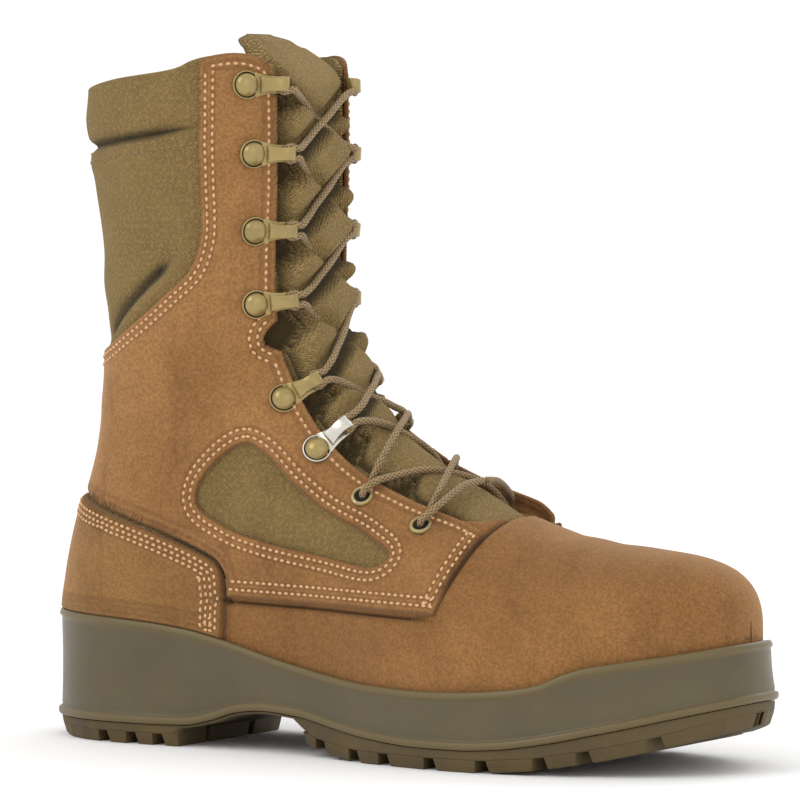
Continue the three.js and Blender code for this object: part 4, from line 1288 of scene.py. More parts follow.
@dataclass(frozen=True)
class Thread:
    """Thread or braid, with strands that twist along the piece's own UV map, and painted shade between the
    braid's strands.
    """

    name: str
    base: tuple[float, float, float]
    dark: tuple[float, float, float]
    braid: bool = False

    def make(self) -> bpy.types.Material:
        """Builds the material."""
        finish = Finish(self.name, 0.85, Sheen_Weight=0.2, Specular_IOR_Level=0.25)
        tree = finish.tree
        if self.braid:
            parts = tree.node("SeparateXYZ", {0: tree.node("UVMap", uv_map="route").outputs[0]})
            along = tree.times(parts.outputs[1], 2 * math.pi / 0.0042)
            turn = tree.times(parts.outputs[0], 2 * math.pi * 3)
            one = tree.math("ABSOLUTE", tree.math("SINE", tree.math("ADD", along, turn)))
            two = tree.math("ABSOLUTE", tree.math("SINE", tree.math("SUBTRACT", along, turn)))
            height = tree.times(tree.math("ADD", one, two), 0.5)
        else:
            height = tree.noise(tree.object_place(), 1500, 2, 0.6)
        fleck = tree.noise(tree.object_place(), 500, 3, 0.6)
        # For the braid, painted shade darkens the dips between its strands; for plain thread the height is
        # noise, so the tone varies at random.
        tone = tree.blend(tree.band(height, 0.2, 0.75), colour(*self.dark), colour(*self.base))
        tone = tree.blend(tree.times(tree.band(fleck, 0.5, 0.7), 0.35), tone, colour(*self.dark))
        finish.feed("Base Color", tone)
        finish.bump(height, 0.8, 0.0005 if self.braid else 0.0002)
        return finish.material


SUEDE_VAMP = Suede("suede_vamp", (130, 90, 48), (150, 106, 61), (86, 55, 28))
SUEDE_QUARTER = Suede("suede_quarter", (138, 97, 54), (158, 114, 69), (88, 57, 31), (2.8, 5.7))
SUEDE_COUNTER = Suede("suede_counter", (130, 92, 50), (150, 110, 64), (84, 56, 29), (2.2, 4.3, 6.4))
CLOTH_SHAFT = Cloth("cloth_shaft", (133, 107, 62), (160, 134, 82), (56, 42, 24), 950)
CLOTH_TONGUE = Cloth("cloth_tongue", (146, 121, 75), (176, 151, 101), (56, 43, 25), 950, sheen=0.08)
CLOTH_INSOLE = Cloth("cloth_insole", (74, 66, 50), (92, 84, 64), (40, 36, 28), flat=True)
RUBBER_SIDE = Rubber("rubber_side", (79, 69, 47), (87, 77, 52), (97, 83, 50), 0.4, 0.36)
RUBBER_TREAD = Rubber("rubber_tread", (72, 58, 32), (84, 69, 39), (100, 84, 50), 0.6, 0.6)
HOOK_PAINT = PaintedMetal("hook_paint", (156, 135, 82), (196, 188, 170), 0.03, 0.2)
HOOK_WORN = PaintedMetal("hook_worn", (168, 160, 142), (204, 199, 188), 0.9, 0.24)
EYELET_BRASS = PaintedMetal("eyelet_brass", (164, 146, 96), (196, 180, 130), 0.3, 0.34)
# A near-black finish for painted shade: the disc in each eyelet's bore and the groove round each hook's dome.
PAINTED_SHADE = Rubber("painted_shade", (24, 19, 14), (30, 24, 18), (36, 29, 21), 0.2, 0.9)
LACE_BRAID = Thread("lace_braid", (156, 130, 90), (70, 52, 34), True)
STITCH_THREAD = Thread("stitch_thread", (226, 186, 142), (178, 130, 88))
SEAM_THREAD = Thread("seam_thread", (150, 128, 84), (88, 70, 42))


@dataclass
class Upper:
    """The vamp, the cloth shaft, the quarters, the counter and their stitches."""

    cloth: float = 2.2
    gap: float = 0.3
    suede: float = 1.7
    counter: float = 2.5
    curl: float = 6.0
    tab: float = 0.012

    @staticmethod
    def back(step: float = 0) -> Array:
        """The line up the back of the boot, or a small step ahead of it."""
        return straight((14, step), (LAST.sections, step))

    def vamp(self) -> Panel:
        """The suede over the toe and round the bottom of the upper."""
        lines = [(throat_path(THROAT_END, LAST.throat, 12), True), (straight((13, 1), (-0.5, 1)), False),
                 (straight((0.0005, 1.2), (0.0005, -0.2)), False), (rim_path(300, -4, 3.5), True),
                 (self.back(), False), (side_path(BASE_SEAM), True)]
        return Panel("vamp", Outline(lines), -self.cloth, self.cloth, edge=0.9, grid=2.0,
                     guides=tuple(crease.line for crease in CREASES if crease.width < 1.5))

    def shaft(self) -> Panel:
        """The cloth shaft up to the padded collar."""
        lines = [(side_path(BASE_SEAM)[::-1], True), (self.back(), False),
                 (side_path(COLLAR_LINE), True), (throat_path(THROAT_END, LAST.throat, 24, 12), True),
                 (side_path(FLEX_NOTCH), True), (throat_path(THROAT_END, LAST.throat, 14.25, 9), True)]
        return Panel("shaft", Outline(lines), -self.cloth, self.cloth, edge=1.0, grid=1.9,
                     guides=tuple(crease.line for crease in CREASES if crease.width < 3))

    def quarter_lines(self, ahead: float = 0) -> list[tuple[Array, bool]]:
        """The quarter's outline on one side, its front line's upper end moved ahead by a share."""
        half = LAST.throat + 0.3
        front = [(x + ahead * min(max((z - 0.25) / 0.1, 0), 1), z) for x, z in QUARTER_FRONT]
        return [(side_path(QUARTER_TOP), True), (throat_path(THROAT_END, half, 24, 12), True),
                (side_path(FLEX_NOTCH), True), (throat_path(THROAT_END, half, 14.25, 6.6), True),
                (side_path(front), True), (side_path(QUARTER_LOW), True),
                (side_path([(x + 0.002, z + 0.003) for x, z in COUNTER_TOP])[::-1], True),
                (self.back(0.004), True), (side_path(QUARTER_REAR), True)]

    def quarter(self, side: Side) -> Panel:
        """A quarter with its facing and inset window."""
        hole = self.spaced(side_path(WINDOW, True), SPACING)
        curl, ahead = (self.curl, self.tab) if side is Side.MEDIAL else (0, 0)
        return Panel(f"quarter_{side.name.lower()}_suede", Outline(self.quarter_lines(ahead)), self.gap,
                     self.suede, [hole], (side.value,), 0.8, curl=curl)

    @staticmethod
    def spaced(loop: Array, spacing: float) -> Array:
        """A closed line with points at an even distance on the last."""
        closed = np.vstack([loop, loop[:1]])
        walked = walk(LAST.spots(closed, 1, 0))
        marks = np.linspace(0, walked[-1], round(walked[-1] / spacing) + 1)[:-1]
        return read_line(marks, walked, closed)

    def heel_counter(self) -> Panel:
        """The suede counter round the heel."""
        lines = [(side_path(COUNTER_TOP), True), (rim_path(120, -4, 0.2), True),
                 (self.back(), False)]
        return Panel("heel_counter", Outline(lines), self.gap, self.counter, edge=1.0)

    def seams(self) -> Stitching:
        """The pale rows of stitches on the suede."""
        rows = Stitching("suede_stitches")
        top = self.gap + self.suede + 0.05
        lines = self.quarter_lines()
        for distance, wanted in ((2.8, (2, 4, 5, 8)), (4.0, (0, 1, 3)), (5.7, (2, 4, 5, 8))):
            outline = Outline([(line, i in wanted) for i, (line, _) in enumerate(lines)])
            for run in flat_line(*outline.loop(SPACING), distance):
                rows.add(run[2:-2], top, self.curl)
        window = self.spaced(side_path(WINDOW, True), SPACING)
        for distance in (2.4, 5.2):
            ring = inward(window, distance, -1)
            rows.add(np.vstack([ring, ring[:1]]), top)
        lines = self.heel_counter().outline.lines
        outline = Outline([(line, i == 0) for i, (line, _) in enumerate(lines)])
        for distance in (2.2, 4.3, 6.4, 8.5):
            for run in flat_line(*outline.loop(SPACING), distance):
                place = LAST.spots(run, 1, 0)
                in_front = (place[:, 0] > 0.27 * LAST.length) | (distance < 8)
                keep = in_front & (place[:, 2] > LAST.rim(place[:, 0]) + 1.5)
                if keep.sum() > 3:
                    rows.add(run[keep], self.gap + self.counter + 0.05)
        return rows

    def collar_seams(self) -> Stitching:
        """The double row of stitches under the padded collar."""
        rows = Stitching("collar_stitches", 3.0, 2.2, 0.9, 0.4)
        for drop in (0.004, 0.0165):
            line = side_path([(x, z - drop) for x, z in COLLAR_SEAM])
            line = line[(line[:, 1] > 0.0)]
            p = LAST.spots(line, -1, 0)
            rows.add(line[p[:, 0] < 0.292 * LAST.length], 0.05)
        return rows

    def build(self) -> list[bpy.types.Object]:
        """Builds the upper's pieces and gives them their nodes."""
        suede, quarter = SUEDE_VAMP.make(), SUEDE_QUARTER.make()
        cloth, counter_finish = CLOTH_SHAFT.make(), SUEDE_COUNTER.make()
        vamp = self.vamp().build(suede)
        shaft = self.shaft().build(cloth)
        pieces = [vamp, shaft]
        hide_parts("upper")
        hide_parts("upper")
        for side in Side:
            piece = self.quarter(side).build(quarter)
            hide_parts(f"quarter_{side.name.lower()}")
            pieces.append(piece)
        counter = self.heel_counter().build(counter_finish)
        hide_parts("counter")
        pieces += [counter, self.seams().build(STITCH_THREAD.make()),
                   self.collar_seams().build(SEAM_THREAD.make())]
        return pieces


@dataclass
class Lacing:
    """Where the hooks and eyelets sit, and the strands of lace between them."""

    skin: float = 2.3
    reach: float = 15
    hook_rise: float = 6
    fold_reach: float = 16.2
    eyelet_radius: float = 4.7
    radius: float = 1.6
    low: float = 1.5
    gap: float = 0.4
    sunk: float = 2.8

    def frame_of(self, row: tuple[float, float], side: int) -> Matrix:
        """A fastening's own directions: x towards the throat, y up the facing, z out of it."""
        off = side * row[1] * LAST.throat
        origin, inner, ahead = (Vector(p) for p in LAST.facing(
            row[0] + np.array([0, 0, 0.1]), off - side * np.array([0, self.reach, 0]), self.skin))
        inner_way = (inner - origin).normalized()
        out = (inner_way.cross((ahead - origin).normalized()) * -side).normalized()
        up = out.cross(inner_way)
        matrix = Matrix((inner_way, up, out)).transposed().to_4x4()
        matrix.translation = origin
        return matrix

    def strand_end(self, row: tuple[float, float], side: int, up: float) -> Vector:
        """Where a strand leaves a hook or eyelet, up along the facing."""
        is_hook = row in HOOKS
        reach = (self.fold_reach if is_hook else self.eyelet_radius) + 3 * self.gap
        height = self.hook_rise / 2 if is_hook else self.radius + 5 * self.gap
        return self.frame_of(row, side) @ Vector((reach, -side * up, height))

    def strand(self, low: tuple[float, float], high: tuple[float, float], side: int) -> list[Vector]:
        """Points of a strand from a low fastening on one side up to the next on the other."""
        spread = self.radius + self.gap / 2
        start, end = self.strand_end(low, side, spread), self.strand_end(high, -side, -spread)
        points = [start]
        share = np.array([0.15, 0.3, 0.4, 0.5, 0.6, 0.7, 0.85])
        rise = (2 * share - 1) ** 2
        lift = self.low + (self.skin + self.radius + 1 - self.low) * rise
        lift = lift - 1.0 * side * np.exp(-((share - 0.5) / 0.16) ** 2)
        if side > 0:
            lift = lift - self.sunk * np.sin(np.pi * share) ** 0.55
        for t, grow in zip(share, lift):
            points.append(Vector(LAST.facing(mix(low[0], high[0], t), mix(start.y, end.y, t), grow)))
        return points + [end]


@dataclass
class Tongue:
    """The padded tongue, pressed in under the lace and swelling between."""

    half: float = 30
    thick: float = 5
    lean: float = 22
    rise: float = 5
    pad: float = -0.8
    margin: float = 2
    puff: float = 5.8
    flat: float = -2.6
    under: float = -3.3
    deep: float = -6.5
    dip: float = 7.5
    dip_at: float = 0.27
    dip_wide: float = 0.17

    def build(self, lacing: Lacing) -> bpy.types.Object:
        """Builds the tongue.

        Args:
            lacing: the lace that presses it in.

        Returns:
            The tongue.
        """
        widths = Curve([(7, 0.7), (8, 0.86), (8.5, 0.92), (9, 0.96), (10, 1), (20, 1), (21, 0.99),
                        (22, 0.92), (23, 0.72), (24, 0.52), (24.5, 0.43), (25, 0.3)])
        backs = Curve([(7, 0), (19, 0), (20, 0.04), (21, 0.1), (22, 0.2), (23, 0.42), (24, 0.75),
                       (24.5, 0.93), (25, 1.0)])
        rises = Curve([(7, 0), (24, 0), (24.5, 0.6), (25, 1.0)])
        rows = np.concatenate([np.arange(7, 24, 0.085), np.linspace(24, 25, 12)])
        cols = np.linspace(-1, 1, 61)
        at, off = np.meshgrid(rows, cols, indexing="ij")
        reach = off * widths(at) * self.half
        level, shade = self.levels(at, reach, lacing)
        rim = ramp(np.minimum((1 - np.abs(off)) / 0.1, (25 - at) / 0.6))
        middle = self.under - self.thick / 2
        outer = self.place(at, reach, mix(middle, level, rim), backs, rises)
        inner = self.place(at, reach, mix(middle, self.under - self.thick - 1.5, rim), backs, rises)
        count, wide = at.shape
        verts = np.vstack([outer.reshape(-1, 3), inner.reshape(-1, 3)])
        faces = []
        for r in range(count - 1):
            for c in range(wide - 1):
                a = r * wide + c
                b = a + count * wide
                faces.append((a, a + 1, a + wide + 1, a + wide))
                faces.append((b, b + wide, b + wide + 1, b + 1))
        rim_loop = (list(range(wide)) + [r * wide + wide - 1 for r in range(1, count)]
                    + [(count - 1) * wide + c for c in range(wide - 2, -1, -1)]
                    + [r * wide for r in range(count - 2, 0, -1)])
        for i, a in enumerate(rim_loop):
            b = rim_loop[(i + 1) % len(rim_loop)]
            faces.append((a, a + count * wide, b + count * wide, b))
        piece = new_object("tongue_pad", LAST.rest(verts), faces, CLOTH_TONGUE.make())
        shell = bmesh.new()
        shell.from_mesh(piece.data)
        unroll_layer = shell.verts.layers.float.new("unroll")
        climb_layer = shell.verts.layers.float.new("climb")
        fold_shade_layer = shell.verts.layers.float.new("fold")
        # Painted shade of the valleys and deep gaps, for both skins, kept in the fold attribute.
        sunk = np.tile(shade.ravel(), 2)
        steps = np.linalg.norm(np.diff(outer, axis=1, prepend=outer[:, :1]), axis=2) / widths(at)
        unrolled = np.cumsum(steps.mean(axis=0)) * widths(at)
        steps = np.linalg.norm(np.diff(outer, axis=0, prepend=outer[:1]), axis=2)
        climbed = np.cumsum(steps.mean(axis=1))
        flat = np.tile((unrolled - unrolled[:, wide // 2 : wide // 2 + 1]).ravel(), 2)
        rise = np.tile((climbed[:, None] + 0 * reach).ravel(), 2)
        for vert, across, up, dark in zip(shell.verts, flat, rise, sunk):
            vert[fold_shade_layer] = dark
            vert[unroll_layer] = across * MM
            vert[climb_layer] = up * MM
        bmesh.ops.remove_doubles(shell, verts=shell.verts, dist=0.00002)
        bmesh.ops.recalc_face_normals(shell, faces=shell.faces)
        shell.to_mesh(piece.data)
        shell.free()
        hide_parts("tongue")
        return piece

    def levels(self, at: Array, reach: Array, lacing: Lacing) -> tuple[Array, Array]:
        """How far the tongue's face stands out of the last, and the painted shade in its folds.

        Args:
            at: section of each point.
            reach: distance of each point from the middle.
            lacing: the lace that presses the pad in.

        Returns:
            The level in millimetres and the painted shade from 0 to 1, at each point.
        """
        surface = LAST.facing(np.minimum(at, LAST.sections), reach, 0).reshape(-1, 3)
        raised, shade = self.under_lace(at, reach)
        for side, width in ((-1, 3.2), (1, 2.6)):
            gap = nearest(surface, self.pressed_lines(side)).reshape(at.shape)
            raised = np.minimum(raised, (1 - np.exp(-((gap / width) ** 2))) ** 0.8)
        inside = LAST.throat - self.margin - 3.0 * (reach > 0)
        stops = [row[0] for row in HOOKS + EYELETS]
        for high, low in zip(stops, stops[1:]):
            place, width = mix(high, low, self.dip_at), self.dip_wide * (high - low)
            inside -= self.dip * np.exp(-(((at - place) / width) ** 2))
        edge = ramp((inside - np.abs(reach)) / 4)
        laid = mix(lacing.low, lacing.skin + lacing.radius + 1, (np.abs(reach) / LAST.throat) ** 2) - 2.2
        body = mix(self.pad, laid + self.puff * raised, ramp((24.8 - at) / 2.2))
        swell = mix(self.flat, body, ramp((at - 11) / 3.4))
        level = np.where(np.abs(reach) < inside, mix(self.deep, swell, edge),
                         np.maximum(self.deep, self.under - 3.2 * ramp((np.abs(reach) - inside) / 3)))
        hidden = (np.abs(reach) > LAST.throat - 1.2) | (at < 8.2)
        level = np.where(hidden, np.minimum(level, self.under), level)
        # Painted shade: darkest in the valleys under the strands and in the deep gaps beside the facings.
        return level, np.maximum(0.92 * shade, 0.78 * ramp((-3.0 - level) / 2.0))

    def place(self, at: Array, reach: Array, level: Array, backs: Curve, rises: Curve) -> Array:
        """Puts the tongue's points on the last, leaning back at its top."""
        row = np.minimum(at, LAST.sections)
        points = LAST.facing(row, reach, 0)
        (cx, cz), (ox, oz) = LAST.crest(row, 0), LAST.crest(row, 1.0)
        turn = np.clip(np.abs(reach) / (self.half * 1.25), 0, 1) ** 1.6
        ahead = 1 - 0.3 * turn
        out = np.stack([(ox - cx) * ahead, np.sign(reach) * turn * 0.85, (oz - cz) * ahead], -1)
        out /= np.linalg.norm(out, axis=-1, keepdims=True)
        points = points + out * level[..., None]
        points[..., 0] -= backs(at) * self.lean
        points[..., 2] += rises(at) * self.rise
        return points

    @staticmethod
    def under_lace(at: Array, reach: Array) -> tuple[Array, Array]:
        """The valley below each upper strand: how far the pad stands up, and the painted shade in it.

        Args:
            at: section of each point.
            reach: distance of each point from the middle.

        Returns:
            Two numbers a point: 1 where the pad is full, and the painted shade, 1 where the valley is
                deepest.
        """
        raised, shade = np.ones(at.shape), np.zeros(at.shape)
        share = np.clip(0.5 + reach / (2 * LAST.throat), 0, 1)
        stops = [row[0] for row in HOOKS]
        for high, low in zip(stops, stops[1:]):
            below = (mix(low, high, share) - at) / (high - low)
            valley = ramp(below / 0.1) * ramp((0.42 - 0.1 * share - below) / 0.16) * ramp(share / 0.22)
            raised = np.minimum(raised, 1 - 0.85 * valley)
            # Painted shade in the valley under the strand.
            shade = np.maximum(shade, valley)
        return raised, shade

    @staticmethod
    def pressed_lines(side: int) -> list[tuple[float, ...]]:
        """Points along the strands that climb from one side, at the surface of the last."""
        spots = []
        fastenings = HOOKS + EYELETS
        for high, low in zip(fastenings, fastenings[1:]):
            for t in np.linspace(0.12, 0.88, 22):
                p = LAST.facing(mix(low[0], high[0], t), side * LAST.throat * (1 - 2 * t) * 0.98, 0)
                spots.append(tuple(p))
        return spots


def rings_solid(name: str, rings: list[Array], finish: bpy.types.Material) -> bpy.types.Object:
    """A solid of loops joined one to the next, with its two ends filled.

    Args:
        name: the piece's name.
        rings: loops of points in millimetres, all of one length.
        finish: its material.

    Returns:
        The piece.
    """
    shape = bmesh.new()
    loops = [[shape.verts.new(p) for p in LAST.rest(ring)] for ring in rings]
    edges = [[shape.edges.new(pair) for pair in zip(loop, loop[1:] + loop[:1])] for loop in loops]
    for low, high in zip(edges, edges[1:]):
        bmesh.ops.bridge_loops(shape, edges=low + high)
    for loop in (edges[0], edges[-1]):
        bmesh.ops.triangle_fill(shape, use_beauty=True, edges=loop)
    bmesh.ops.recalc_face_normals(shape, faces=shape.faces)
    return settle(name, shape, finish)


@dataclass
class Sole:
    """The midsole, the lugged outsole and the insole."""

    bead: float = 1.2
    lip: float = 2.6
    lug_gap: float = 4.0
    steps: int = 110

    def outline(self, grow: float) -> Array:
        """The sole's outline in plan, as one loop of x and y."""
        k = np.arange(self.steps + 1)
        x = mix(-grow, LAST.length + grow, (1 - np.cos(np.pi * k / self.steps)) / 2)
        middle, half = LAST.middle(x, 0 * x), LAST.sole_half(x, grow)
        near = np.stack([x, middle - half], -1)
        far = np.stack([x, middle + half], -1)[1:-1][::-1]
        return np.vstack([near, far])

    def ring(self, grow: float, height: object, toe_back: float = 0) -> Array:
        """The outline at a height for each x, with its toe set back."""
        flat = self.outline(grow)
        x = flat[:, 0]
        return np.stack([x - toe_back * ramp((x / LAST.length - 0.75) / 0.25), flat[:, 1], height(x)], -1)

    def midsole(self) -> bpy.types.Object:
        """The moulded side wall with its lower bead and upper lip."""
        bead, rim, back = LAST.bead, LAST.rim, LAST.toe_setback
        fit = -LAST.overhang + LAST.loose

        def wall_at(share: float) -> object:
            """A height a share of the way up the side wall."""
            return lambda x: mix(bead(x) + 3.6, rim(x) - self.lip - 0.9, share)

        low_bead = [(-2.6, 0.05), (-self.bead, 0), (-0.35, 0.2), (0.1, 0.7), (0.2, 1.5), (0.1, 2.5),
                    (-0.5, 3.0), (-1.3, 3.3)]
        high_lip = [(-1.15, -self.lip - 0.4, 0.85), (-0.4, -self.lip + 0.1, 0.9),
                    (-0.3, -self.lip + 0.7, 0.92), (-0.45, -1.2, 0.96), (-0.8, -0.45, 0.98),
                    (-1.4, 0, 1), (fit + 0.4, -0.1, 1), (fit, -0.5, 1), (fit, -LAST.tuck, 1)]
        rings = [self.ring(grow, lambda x: bead(x) + up) for grow, up in low_bead]
        for share in (0.04, 0.2, 0.4, 0.6, 0.8, 0.97):
            hollow = -1.1 - 0.3 * math.sin(math.pi * share)
            rings.append(self.ring(hollow, wall_at(share), back * 0.8 * share))
        rings += [self.ring(grow, lambda x: rim(x) + up, back * share) for grow, up, share in high_lip]
        piece = rings_solid("midsole_wall", rings, RUBBER_SIDE.make())
        # Marks the bead and lip rings for the rubber's painted highlight.
        trim = piece.data.attributes.new("trim", "FLOAT", "POINT")
        low, high = len(low_bead) - 1, len(rings) - len(high_lip) - 1
        size = len(rings[0])
        trim.data.foreach_set("value", [1.0 if i // size < low or i // size > high else 0.0
                                        for i in range(len(piece.data.vertices))])
        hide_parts("midsole")
        return piece

    def outsole(self) -> bpy.types.Object:
        """The outsole's body with its lugs, each a bevelled block."""
        finish = RUBBER_TREAD.make()
        depth = 4.6

        def base_at(x: Array) -> Array:
            """Height of the body's underside, above the lugs."""
            return np.minimum(LAST.tread(x) + depth, LAST.bead(x) - 1.2)

        rings = [self.ring(-3.2, base_at), self.ring(-1.9, base_at),
                 self.ring(-1.35, lambda x: base_at(x) + 0.5),
                 self.ring(-1.2, lambda x: np.maximum(base_at(x) + 0.8, LAST.bead(x) - 1.0)),
                 self.ring(-1.3, lambda x: LAST.bead(x) - 0.25),
                 self.ring(-3.2, lambda x: LAST.bead(x) - 0.2)]
        body = rings_solid("outsole_body", rings, finish)
        verts = [v.co.copy() for v in body.data.vertices]
        faces = [tuple(p.vertices) for p in body.data.polygons]
        for spots, sides in self.lugs():
            start = len(verts)
            verts += spots
            faces += [tuple(start + i for i in face) for face in sides]
        bpy.data.objects.remove(body)
        piece = new_object("outsole_tread", np.array(verts), faces, finish)
        piece.data.shade_flat()
        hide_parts("outsole")
        return piece

    def lugs(self) -> list[tuple[list[Vector], list[tuple]]]:
        """Blocks between the grooves, from side to side, each as points in metres and faces."""
        cuts = [0.0, 0.124, 0.168, 0.208, 0.24]
        front = [0.432, 0.46, 0.518, 0.568, 0.64, 0.713, 0.787, 0.839, 0.916, 1.0]
        spans = list(zip(cuts, cuts[1:])) + list(zip(front, front[1:]))
        blocks = []
        for number, (a, b) in enumerate(spans):
            start = a * LAST.length + (0 if a in (0.0, 0.432) else self.lug_gap / 2)
            stop = b * LAST.length - (0 if b in (1.0, 0.24) else self.lug_gap / 2)
            split = (-1, -0.42, 0.42, 1) if number % 2 else (-1, -0.2, 0.2, 1)
            blocks += [self.lug(start, stop, *ends) for ends in zip(split, split[1:])]
        return blocks

    def lug(self, start: float, stop: float, left: float, right: float) -> tuple[list[Vector], list[tuple]]:
        """One block between two places along the sole and two shares of its width."""
        shape = bmesh.new()
        xs = np.linspace(start, stop, 5)
        slot = 1.7
        levels = [(0.0, 1.0), (4.9, 0.0)]
        rows = []
        for height, taper in levels:
            grow = -3.0 if taper else -1.35
            x = xs + taper * 0.9 * np.sign((start + stop) / 2 - xs)
            x = np.clip(x, -grow + 0.3, LAST.length + grow - 0.3)
            half, middle = LAST.sole_half(x, grow), LAST.middle(x, 0 * x)
            z = LAST.tread(x) + height
            z = np.minimum(z, LAST.bead(x) - 0.6) if not taper else z
            near = np.stack([x, middle + half * left + (0 if left <= -1 else slot), z], -1)
            far = np.stack([x, middle + half * right - (0 if right >= 1 else slot), z], -1)
            rows.append(np.vstack([near, far[::-1]]))
        loops = [[shape.verts.new(p) for p in LAST.rest(row)] for row in rows]
        count = len(loops[0])
        for i in range(count):
            j = (i + 1) % count
            shape.faces.new((loops[0][i], loops[0][j], loops[1][j], loops[1][i]))
        for loop in loops:
            for i in range(count // 2 - 1):
                shape.faces.new((loop[i], loop[i + 1], loop[count - 2 - i], loop[count - 1 - i]))
        bmesh.ops.remove_doubles(shape, verts=shape.verts, dist=0.00005)
        bmesh.ops.recalc_face_normals(shape, faces=shape.faces)
        sharp = [e for e in shape.edges if len(e.link_faces) == 2 and e.calc_face_angle() > 0.6]
        bmesh.ops.bevel(shape, geom=sharp, offset=0.0005, segments=2, affect="EDGES", profile=0.5,
                        material=-1)
        shape.verts.index_update()
        block = [v.co.copy() for v in shape.verts], [tuple(v.index for v in f.verts) for f in shape.faces]
        shape.free()
        return block

    def insole(self) -> bpy.types.Object:
        """The cloth-covered insole with a soft edge."""
        grow = -LAST.overhang - 2.2 - 1.6

        def bed(x: Array) -> Array:
            """Height of the bed's underside."""
            return LAST.rim(x) - LAST.tuck

        profile = [(-1, 0.6), (0, 1.4), (0, 3.8), (-0.5, 4.4), (-2, 4.6), (-9, 4.2)]
        rings = [self.ring(grow + wider, lambda x: bed(x) + up, LAST.toe_setback)
                 for wider, up in profile]
        piece = rings_solid("insole_cloth", rings, CLOTH_INSOLE.make())
        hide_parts("insole")
        return piece

    def build(self) -> list[bpy.types.Object]:
        """Builds the sole's pieces."""
        return [self.midsole(), self.outsole(), self.insole()]


